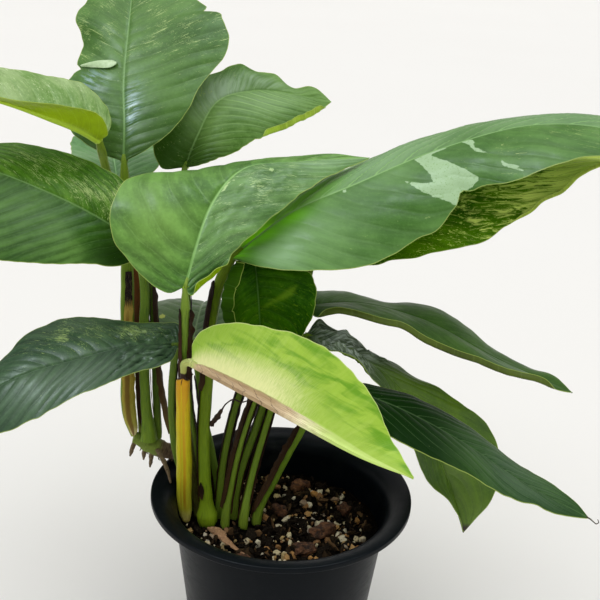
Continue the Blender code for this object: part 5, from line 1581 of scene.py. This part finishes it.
def make_sheath(name):
    points, radii, fractions = stalk_course(name)
    (start, end), strips = SHEATH_LOOKS[name]
    line, size = cut(points, radii, fractions, start, end, SHEATH_STATIONS)
    along = np.linspace(0, 1, SHEATH_STATIONS)
    taper = np.interp(along, *SHEATH_TAPERS.get(name, PLAIN_TAPER))
    if name == "crown":
        foot = np.interp(along, [0, 0.03, 0.08, 0.14], [0.40, 0.70, 0.90, 1.0])
        size = np.maximum(size, CROWN_SHEATH_RADIUS * foot)
    if name == "far_back":
        bow = np.interp(along, [0, 0.15, 0.5], [1.0, 0.75, 0.0]) ** 1.5
        line = line + np.outer(bow, (5.0, -2.0, 0.0))
    parts = []
    for number, (facing, spread, lift) in enumerate(strips):
        half_angle = math.radians(spread) * taper
        parts.append((0, hugging_strip(line, size * 1.04, facing, half_angle, 0.25, 0.30, lift,
                                       len(name) * 2.0 + number * 3, 12)))
    finish = dried_finish("sheath_" + name + "_paper", SHEATH_COLOURS[name])
    run_piece("dried_sheath_" + name, "dried_sheath", ["sheath_" + name], parts, [finish], 60)


def woody_finish(name, pale, dark, green=None):
    """Bark with rings and dark pits, which can turn green near its end."""
    shader = Shader(name)
    gone, turn, fraction = shader.read("run")
    rings = shader.grain(3, 5, 0.7, at=shader.join(gone * 0.5, turn * 0.35))
    shader.base(rings.step(0.35, 0.65), dark, pale)
    shader.paint(shader.grain(420, 4, 0.7).step(0.56, 0.7, 0.0, 0.7), tone(dark, 0.35))
    if green is not None:
        live = (fraction + rings * 0.16).step(0.80, 0.88)
        shader.paint(live * 0.93, shader.mix(rings.step(0.3, 0.6), tone(green, 0.75), green))
    shader.emboss(rings, 0.8, 0.9)
    return shader.done(0.72, 0.3)


def rod(name, slot, nodes, route, radii, finish, bumpy, sides=14, count=40, flatten=0.0):
    """A knobbly rod along a route; flatten squeezes it from two sides."""
    fractions = np.linspace(0, 1, count)
    thick = np.interp(fractions, np.linspace(0, 1, len(radii)), radii)
    seed = len(name) * 1.9

    def shape(gone, turn):
        knobs = np.sin(gone * 1.3 + seed) * np.cos(turn * 2 + gone * 0.4)
        out = 1 + bumpy * knobs + 0.6 * bumpy * np.sin(turn * 5 + gone)
        return out * (1 - flatten * np.abs(np.cos(turn + gone * 0.05)))

    line = smooth_curve(route, fractions)
    parts = [(0, tube(line, thick, sides, facing=(0.3, -1.0, 0.4), shape=shape))]
    run_piece(name, slot, nodes, parts, [finish])


def make_creeping_stem():
    """The stem with its leaf-scar rings, buds of roots and small hooks."""
    finish = woody_finish("creeping_stem_bark", *CREEPING_STEM_COLOURS)
    fractions = np.linspace(0, 1, CREEPING_STEM_STATIONS)
    points = smooth_curve(CREEPING_STEM, fractions)
    knots = np.linspace(0, 1, len(CREEPING_STEM_RADII))
    radii = np.interp(fractions, knots, CREEPING_STEM_RADII)

    def shape(gone, turn):
        ring = bell((gone + 2) % SCAR_SPACING, 4, SCAR_HALF_WIDTH)
        knobs = 0.03 * np.sin(gone * 0.9 + turn * 2) + 0.02 * np.sin(turn * 7 + gone * 0.5)
        return 1 + 0.06 * ring + knobs

    parts = [(0, tube(points, radii, CREEPING_STEM_SIDES, shape=shape))]
    for number, (where, angle, size) in enumerate(ROOT_HOOKS):
        base, radius = cut(points, radii, fractions, where, where + 0.01, 2)
        turn = math.radians(angle)
        out = (0.25 * math.sin(number * 2.1), -math.sin(turn) * 0.5 - 0.35, math.cos(turn))
        out = unit(np.array(out))
        start = base[0] + out * (radius[0] - 0.6)
        bend = start + out * size * 0.6 + np.array([-0.3, -0.5, -0.3])
        tip = start + out * size + np.array([-0.8 * (-1) ** number, -0.6, 0.2])
        line = smooth_curve([start, bend, tip], np.linspace(0, 1, 8))
        parts.append((0, tube(line, np.linspace(0.55, 0.18, 8), 8)))
    run_piece("creeping_stem_bark", "creeping_stem", ["creeping_stem"], parts, [finish])


def make_small_rods():
    """The aerial roots, the dead twig with its thread, and the tan strip on the mix."""
    root = woody_finish("root_bark", *ROOT_BROWNS)
    for name, route in AERIAL_ROOTS.items():
        thread = name.removeprefix("aerial_")
        rod(thread, "root", [name], route, AERIAL_ROOT_RADII, root, 0.14)
    dead = woody_finish("dead_twig_bark", *TWIG_BROWNS)
    rod("dead_stub", "dried_sheath", ["dead_twig"], DEAD_TWIG, DEAD_TWIG_RADII, dead, 0.22)
    rod("dry_thread_1", "dried_sheath", [], DRY_THREAD, DRY_THREAD_RADII, dead, 0.10, 8, 30)
    tan = woody_finish("tan_strip_skin", *TAN_BROWNS)
    lying = [(x, y, SOIL_TOP + SEAT_GAP + above) for x, y, above in TAN_STRIP]
    rod("tan_dry_strip", "root", ["tan_strip"], lying, TAN_STRIP_RADII, tan, 0.10, 16, 60, 0.45)


def outside_radius(height):
    return BASE_RADIUS + (NECK_RADIUS - BASE_RADIUS) * height / NECK_HEIGHT


def inner_radius(height):
    return outside_radius(height) - WALL


def flare_curve(neck_radius, height):
    """A quarter of an ellipse from the neck up to the inner edge of the lip."""
    lip_inner = RIM_RADIUS - LIP_WIDTH
    reach = lip_inner - neck_radius
    return [(lip_inner - reach * math.cos(angle), NECK_HEIGHT + height * math.sin(angle))
            for angle in np.radians(np.linspace(0, 90, FLARE_POINTS))]


def pot_section():
    """Half of the pot's section: up the inside, over the lip and down the outside."""
    flare = POT_HEIGHT - NECK_HEIGHT
    inside = flare_curve(NECK_RADIUS - WALL, flare)
    underside = flare_curve(NECK_RADIUS, flare - WALL)
    low, bevel_at = POT_HEIGHT - LIP_DEPTH, RIM_RADIUS - LIP_BEVEL
    lip = []
    for height, start in ((POT_HEIGHT - LIP_BEVEL, 90), (low + LIP_BEVEL, 0)):
        for angle in np.radians(np.linspace(start, start - 90, 6)):
            out, up = LIP_BEVEL * math.cos(angle), LIP_BEVEL * math.sin(angle)
            lip.append((bevel_at + out, height + up))
    lip.append((RIM_RADIUS - 2 * LIP_BEVEL, low))
    outside = [(outside_radius(h), h) for h in WALL_HEIGHTS]
    outside += [(outside_radius(h) - STEP_DEPTH, h) for h in STEP_HEIGHTS]
    foot_heights = (FOOT_BEVEL, 0.0, 0.0, BASE_HOLLOW)
    foot = [(BASE_RADIUS - inset, h) for inset, h in zip(FOOT_INSETS, foot_heights)]
    foot.append((0, BASE_HOLLOW))
    corner = FLOOR + FLOOR_CORNER
    floor = [(0, FLOOR), (DRAIN_CIRCLE + 6, FLOOR), (inner_radius(FLOOR) - FLOOR_CORNER, FLOOR)]
    floor += [(inner_radius(h), h) for h in (corner, 40, 80)]
    return floor + inside + lip + underside[::-1] + outside + foot


def plastic_finish():
    """Black plastic with fine grain, faint rings of the mould, scuffs, dust and water marks."""
    shader = Shader("black_pot_plastic")
    x, y, z = shader.split(shader.position)
    shader.base(shader.grain(60, 6, 0.65).step(0.45, 0.75), *POT_BLACKS)
    shader.paint(shader.grain(1300, 2, 0.6).step(0.755, 0.79, 0.0, 0.25), DUST_SPECK)
    shader.paint(shader.grain(28, 5, 0.6).step(0.60, 0.66, 0.0, 0.05), WATER_MARK)
    scratch = shader.grain(160, 6, 0.75, at=shader.join(x, y, z * 9.0))
    shader.emboss(shader.grain(1100, 3, 0.6, at=shader.join(0.0, 0.0, z)), 0.05, 0.25)
    shader.emboss(shader.grain(2200, 2, 0.5), 0.02, 0.35)
    return shader.done(scratch.step(0.35, 0.7, 0.30, 0.46), 0.09)


def turned(section, steps):
    """Points and faces of a closed solid of revolution, from a section between two axis points."""
    turn = np.linspace(0, math.tau, steps, endpoint=False)
    body = np.array(section[1:-1], float)
    rings = np.stack([body[:, 0, None] * np.cos(turn), body[:, 0, None] * np.sin(turn),
                      np.repeat(body[:, 1, None], steps, axis=1)], axis=-1)
    faces = grid_faces(len(body), steps, closed=True)
    count = len(body) * steps
    ends = np.array([(0, 0, section[0][1]), (0, 0, section[-1][1])], float)
    for side in range(steps):
        faces.append(((side + 1) % steps, side, count))
        last = (len(body) - 1) * steps
        faces.append((last + side, last + (side + 1) % steps, count + 1))
    return np.concatenate([rings.reshape(-1, 3), ends]), faces


def make_pot():
    """The turned pot, with its drain holes cut out."""
    verts, faces = turned(pot_section(), POT_STEPS)
    piece = make_mesh("nursery_pot", verts, [f[::-1] for f in faces], [plastic_finish()], sharp=50)
    holes = bmesh.new()
    # Turned by half a segment, so that no corner of a hole falls on an edge of the floor.
    half_segment = Matrix.Rotation(math.pi / HOLE_SIDES, 3, "Z")
    for hole in range(DRAIN_HOLES):
        angle = math.tau * hole / DRAIN_HOLES
        made = bmesh.ops.create_cone(holes, cap_ends=True, segments=HOLE_SIDES,
                                     radius1=DRAIN_RADIUS * MM, radius2=DRAIN_RADIUS * MM,
                                     depth=4 * FLOOR * MM)
        bmesh.ops.rotate(holes, verts=made["verts"], matrix=half_segment)
        middle = Vector((math.cos(angle), math.sin(angle), 0.0)) * DRAIN_CIRCLE * MM
        bmesh.ops.translate(holes, verts=made["verts"], vec=middle)
    mesh = bpy.data.meshes.new("drain_holes")
    holes.to_mesh(mesh)
    holes.free()
    cutter = add_object("drain_holes", mesh)
    drains = piece.modifiers.new("drain_holes", "BOOLEAN")
    drains.operation = "DIFFERENCE"
    drains.object = cutter
    bpy.context.view_layer.update()
    whole = piece.evaluated_get(bpy.context.evaluated_depsgraph_get())
    cut_mesh = bpy.data.meshes.new_from_object(whole)
    piece.modifiers.clear()
    piece.data = cut_mesh
    bpy.data.objects.remove(cutter)
    keep(piece, "black_plastic", "pot")


def mix_height(x, y):
    """How far the potting mix stands above its flat level at a place."""
    spot = np.stack([x, y, np.zeros_like(x)], axis=-1)
    return 1.1 * rough(spot, 16, 2.0) + 0.7 * rough(spot, 5, 5.0) + 0.4 * rough(spot, 2.2, 8.0)


def make_mix():
    """The mix's rough top and its plain sides inside the pot."""
    shader = Shader("potting_mix_crumbs")
    crumbs = shader.grain(420, 8, 0.75)
    shader.base(crumbs.step(0.35, 0.7), *MIX_BROWNS)
    shader.paint(shader.grain(900, 3, 0.6).step(0.72, 0.76, 0.0, 0.5), MIX_SPECK)
    shader.emboss(crumbs, 1.4, 1.0)
    finish = shader.done(0.9, 0.03)
    radius = inner_radius(SOIL_TOP) - SEAT_GAP
    corner = inner_radius(FLOOR) - FLOOR_CORNER - SEAT_GAP
    section = [(0, FLOOR + SEAT_GAP), (corner, FLOOR + SEAT_GAP),
               (inner_radius(FLOOR + 3) - SEAT_GAP, FLOOR + 3)]
    section += [(radius * (1 - ring / MIX_RINGS), SOIL_TOP) for ring in range(MIX_RINGS)]
    verts, faces = turned(section + [(0, SOIL_TOP)], MIX_STEPS)
    top = verts[:, 2] > SOIL_TOP - 0.5
    verts[top, 2] += mix_height(verts[top, 0], verts[top, 1])
    piece = make_mesh("potting_mix_body", verts, faces, [finish], sharp=60)
    keep(piece, "potting_mix", "potting_mix")


def lump(subdivisions, stretch, seed, knock=0.28):
    """Points and faces of one rough stone-like lump about 1 across its radius."""
    ball = bmesh.new()
    bmesh.ops.create_icosphere(ball, subdivisions=subdivisions, radius=1.0)
    points = np.array([v.co for v in ball.verts])
    faces = [tuple(v.index for v in f.verts) for f in ball.faces]
    ball.free()
    boxy = np.max(np.abs(points), axis=1, keepdims=True) ** -0.35
    points = points * boxy * (1 + knock * rough(points, 0.9, seed))[:, None]
    return points * stretch, faces


def spin(rng):
    """A random turn."""
    quaternion = rng.normal(size=4)
    w, x, y, z = quaternion / np.linalg.norm(quaternion)
    return np.array([[1 - 2 * (y * y + z * z), 2 * (x * y - z * w), 2 * (x * z + y * w)],
                     [2 * (x * y + z * w), 1 - 2 * (x * x + z * z), 2 * (y * z - x * w)],
                     [2 * (x * z - y * w), 2 * (y * z + x * w), 1 - 2 * (x * x + y * y)]])


def scatter(name, seed, count, sizes, stretches, finish, lift, patchy=False):
    """Many loose grains as one piece, lying on the mix and clear of the stalks' feet."""
    rng = np.random.default_rng(seed)
    shapes = [lump(1, np.array(s), seed + i * 3.3) for i, s in enumerate(stretches)]
    feet = [(stalk["foot"], stalk["foot_radius"] + 0.8) for stalk in STALKS.values()
            if stalk["foot"][2] == SOIL_TOP]
    parts = []
    while len(parts) < count:
        x, y = rng.uniform(-BED_RADIUS, BED_RADIUS, 2)
        size = sizes[0] + (sizes[1] - sizes[0]) * rng.random() ** 1.8
        shape, corners = shapes[rng.integers(len(shapes))]
        turn, own_tone = spin(rng), rng.random(3)
        if math.hypot(x, y) > BED_RADIUS - size * 0.6:
            continue
        if any(math.hypot(x - f[0], y - f[1]) < r + size * 0.8 for f, r in feet):
            continue
        if patchy and noise.noise(Vector((x / 11, y / 11, seed))) < rng.uniform(-0.35, 0.35):
            continue
        level = SOIL_TOP + float(mix_height(np.array([x]), np.array([y]))[0])
        points = (shape * size) @ turn.T + (x, y, level + size * lift + rng.random() * 1.2)
        parts.append((0, (points, corners, np.repeat(own_tone[None], len(points), axis=0))))
    verts, faces, tones, _ = joined(parts)
    piece = make_mesh(name, verts, faces, [finish], None, {"tone": tones}, sharp=35)
    keep(piece, "potting_mix")


def grain_finish(name, stops, size, shine):
    """Loose grains, each with its own tone."""
    shader = Shader(name)
    own_tone, other, _ = shader.read("tone")
    spots = shader.grain(size, 5, 0.7)
    shader.colour = own_tone.ramp(stops)
    shader.paint(spots.step(0.48, 0.70, 0.0, 0.6), (0.06, 0.045, 0.028))
    shader.paint(other.step(0.0, 1.0, 0.0, 0.28), (0.03, 0.022, 0.014))
    shader.emboss(spots, 0.4, 0.8)
    return shader.done(0.8, shine)


def make_grains():
    """Pumice, bark crumbs and dry fibres: seed, count, sizes, stretches, finish and lift."""
    pumice = grain_finish("pumice_grain", PUMICE_TONES, 1500, 0.3)
    chips = grain_finish("bark_crumb", CRUMB_TONES, 1100, 0.03)
    scatter("pumice_grains", 11, 210, (1.2, 2.9), ROUND_GRAINS, pumice, 0.45, True)
    scatter("small_pumice_grains", 12, 170, (0.45, 1.0), ROUND_GRAINS, pumice, 1.0, True)
    scatter("bark_crumbs", 13, 560, (1.2, 3.6), FLAKES, chips, 0.25)
    scatter("fine_crumbs", 14, 800, (0.5, 1.4), FLAKES, chips, 0.8)
    scatter("dry_fibres", 15, 150, (0.8, 1.6), FIBRES, chips, 0.9)


def bark_finish():
    """Reddish layers with paler fibres."""
    shader = Shader("bark_chunk_skin")
    along, side, up = shader.split(shader.position)
    layers = shader.grain(260, 6, 0.7, 0.5)
    shader.base(layers.step(0.35, 0.68), *BARK_BROWNS)
    fibres = shader.grain(900, 4, 0.7, at=shader.join(along * 0.35, side, up))
    shader.paint(fibres.step(0.56, 0.70, 0.0, 0.6), BARK_FIBRE)
    shader.emboss(layers, 1.0, 1.0)
    return shader.done(0.85, 0.25)


def make_bark():
    """The larger chunks, with the stepped faces of torn bark."""
    finish = bark_finish()
    for number, chunk in enumerate(BARK_CHUNKS, start=1):
        points, faces = lump(4, np.ones(3), number * 2.7, 0.30)
        steps = np.round(points[:, 2] * 3.5 + 0.6 * rough(points, 0.5, number)) / 3.5
        points[:, 2] = 0.55 * points[:, 2] + 0.45 * steps
        points = points * (1 + 0.07 * rough(points, 0.22, number))[:, None]
        points = points * (np.array(chunk["size"]) / 2 * (0.98, 1.0, 1.25))
        turn = Matrix.Rotation(math.radians(chunk["turn"]), 3, "Z")
        tilt = turn @ Matrix.Rotation(0.12 * (-1) ** number, 3, "X")
        points = points @ np.array(tilt).T
        points += (*chunk["at"], SOIL_TOP + SEAT_GAP - points[:, 2].min() * 0.62)
        piece = make_mesh("bark_lump_" + str(number), points, faces, [finish], sharp=30)
        keep(piece, "bark", "bark_chunk_" + str(number))


def make_tendril():
    """The hooked dry tip of the lowest right leaf."""
    before, tip = np.array(BLADES["right_front"]["midrib"][-2:], float)
    ahead = unit(tip - before)
    route = [tip + ahead * onward + (0, 0, rise) for onward, rise in TENDRIL_HOOK]
    finish = woody_finish("tendril_skin", *TENDRIL_BROWNS)
    rod("leaf_tip_hook", "leaf_dark", [], route, TENDRIL_RADII, finish, 0.05, 10, 30)


def make_crown_fold():
    """The pale tongue at the crown leaf's left notch, folded over on to its upper side."""
    sheet, place, masks, _, _ = leaf_sheet("crown")
    u, across = place[:, 0, 0], masks[0, :, 2]
    normal = sheet_normal(sheet)
    steps = np.linspace(0, 1, FOLD_COLUMNS)
    upper, lower = [np.interp(steps, FOLD_KNOTS, limits) for limits in (FOLD_UPPER, FOLD_LOWER)]
    middle, outward = np.empty((2, FOLD_ROWS, FOLD_COLUMNS, 3))
    for column, step in enumerate(steps):
        j = int(np.argmin(np.abs(across + (FOLD_START - FOLD_REACH * step))))
        for row in range(FOLD_ROWS):
            mix = row / (FOLD_ROWS - 1)
            wanted = lower[column] * (1 - mix) + upper[column] * mix
            i = int(np.clip(np.searchsorted(u, wanted), 1, len(u) - 1))
            t = (wanted - u[i - 1]) / (u[i] - u[i - 1])
            lift = 0.55 + 1.3 * step * (1 - 0.5 * mix) + 0.5 * math.sin(math.pi * mix)
            outward[row, column] = normal[i, j]
            middle[row, column] = sheet[i - 1, j] * (1 - t) + sheet[i, j] * t + normal[i, j] * lift
    for _ in range(3):
        middle[:, 1:-1] = (middle[:, :-2] + middle[:, 1:-1] * 2 + middle[:, 2:]) / 4
    half = np.full((FOLD_ROWS, FOLD_COLUMNS), FOLD_HALF_THICKNESS)
    points, faces, _ = thick_sheet(middle, unit(outward), half, half)
    shader = Shader("pale_fold")
    mottle = shader.grain(240, 4, 0.6).step(0.35, 0.7)
    shader.base(mottle, *FOLD_GREENS)
    shader.emboss(mottle, 0.15, 0.5)
    piece = make_mesh("crown_leaf_fold", points, faces, [shader.done(0.5, 0.3)], sharp=60)
    keep(piece, "leaf_green")


def make_camera():
    pitch, roll = math.radians(CAMERA_PITCH), math.radians(CAMERA_ROLL)
    ahead = Vector((0, math.cos(pitch), -math.sin(pitch)))
    level, rise = Vector((1, 0, 0)), Vector((0, math.sin(pitch), math.cos(pitch)))
    right = math.cos(roll) * level + math.sin(roll) * rise
    up = -math.sin(roll) * level + math.cos(roll) * rise
    data = bpy.data.cameras.new("camera")
    data.lens = CAMERA_LENS
    data.sensor_width = CAMERA_SENSOR
    data.clip_end = CAMERA_FAR
    camera = add_object("camera", data)
    turn = Matrix((right, up, -ahead)).transposed()
    camera.matrix_world = Matrix.Translation(Vector(CAMERA_PLACE) * MM) @ turn.to_4x4()
    bpy.context.scene.camera = camera


def make_floor():
    """A pale floor that curves up far behind."""
    shader = Shader("pale_floor")
    shader.base(shader.grain(1.2, 2, 0.5), *STAGE_TONES)
    profile = [(STAGE_NEAR, 0.0), (STAGE_BEND, 0.0)]
    profile += [(STAGE_BEND + BEND_RADIUS * math.sin(a), BEND_RADIUS - BEND_RADIUS * math.cos(a))
                for a in np.radians(np.linspace(8, 90, 12))]
    profile.append((STAGE_BEND + BEND_RADIUS, STAGE_TOP))
    verts = [(x, y, z) for y, z in profile for x in (-STAGE_HALF_WIDTH, STAGE_HALF_WIDTH)]
    mesh = bpy.data.meshes.new("floor")
    mesh.from_pydata(verts, [], grid_faces(len(profile), 2, flip=True))
    mesh.materials.append(shader.done(0.9, 0.1))
    mesh.shade_smooth()
    floor = add_object("floor", mesh)


def make_lights():
    """One wide soft lamp overhead, two windows that only show in gloss, and a pale world."""
    data = bpy.data.lights.new("wide_overhead", "SUN")
    data.energy = OVERHEAD_STRENGTH
    data.angle = math.radians(OVERHEAD_ANGLE)
    lamp = add_object("wide_overhead", data)
    lamp.rotation_euler = Vector(OVERHEAD_FROM).to_track_quat("Z", "Y").to_euler()
    for name, (place, size, power) in WINDOWS.items():
        data = bpy.data.lights.new(name, "AREA")
        data.shape = "DISK"
        data.size = size
        data.energy = power
        data.color = WINDOW_COLOUR
        window = add_object(name, data)
        window.location = place
        towards = Vector(WINDOWS_FACE) - Vector(place)
        window.rotation_euler = towards.to_track_quat("-Z", "Y").to_euler()
        window.visible_diffuse = False
    world = bpy.data.worlds.new("pale_world")
    world.use_nodes = True
    background = world.node_tree.nodes["Background"]
    background.inputs["Color"].default_value = WORLD_COLOUR
    background.inputs["Strength"].default_value = WORLD_STRENGTH
    bpy.context.scene.world = world
    bpy.context.scene.view_settings.view_transform = "Standard"


def main():
    make_camera()
    make_floor()
    make_lights()
    make_pot()
    make_mix()
    make_grains()
    make_bark()
    make_creeping_stem()
    make_small_rods()
    for name in STALKS:
        make_stalk(name)
    for name in SHEATH_LOOKS:
        make_sheath(name)
    for name in BLADES:
        make_leaf(name)
    make_tendril()
    make_crown_fold()


main()
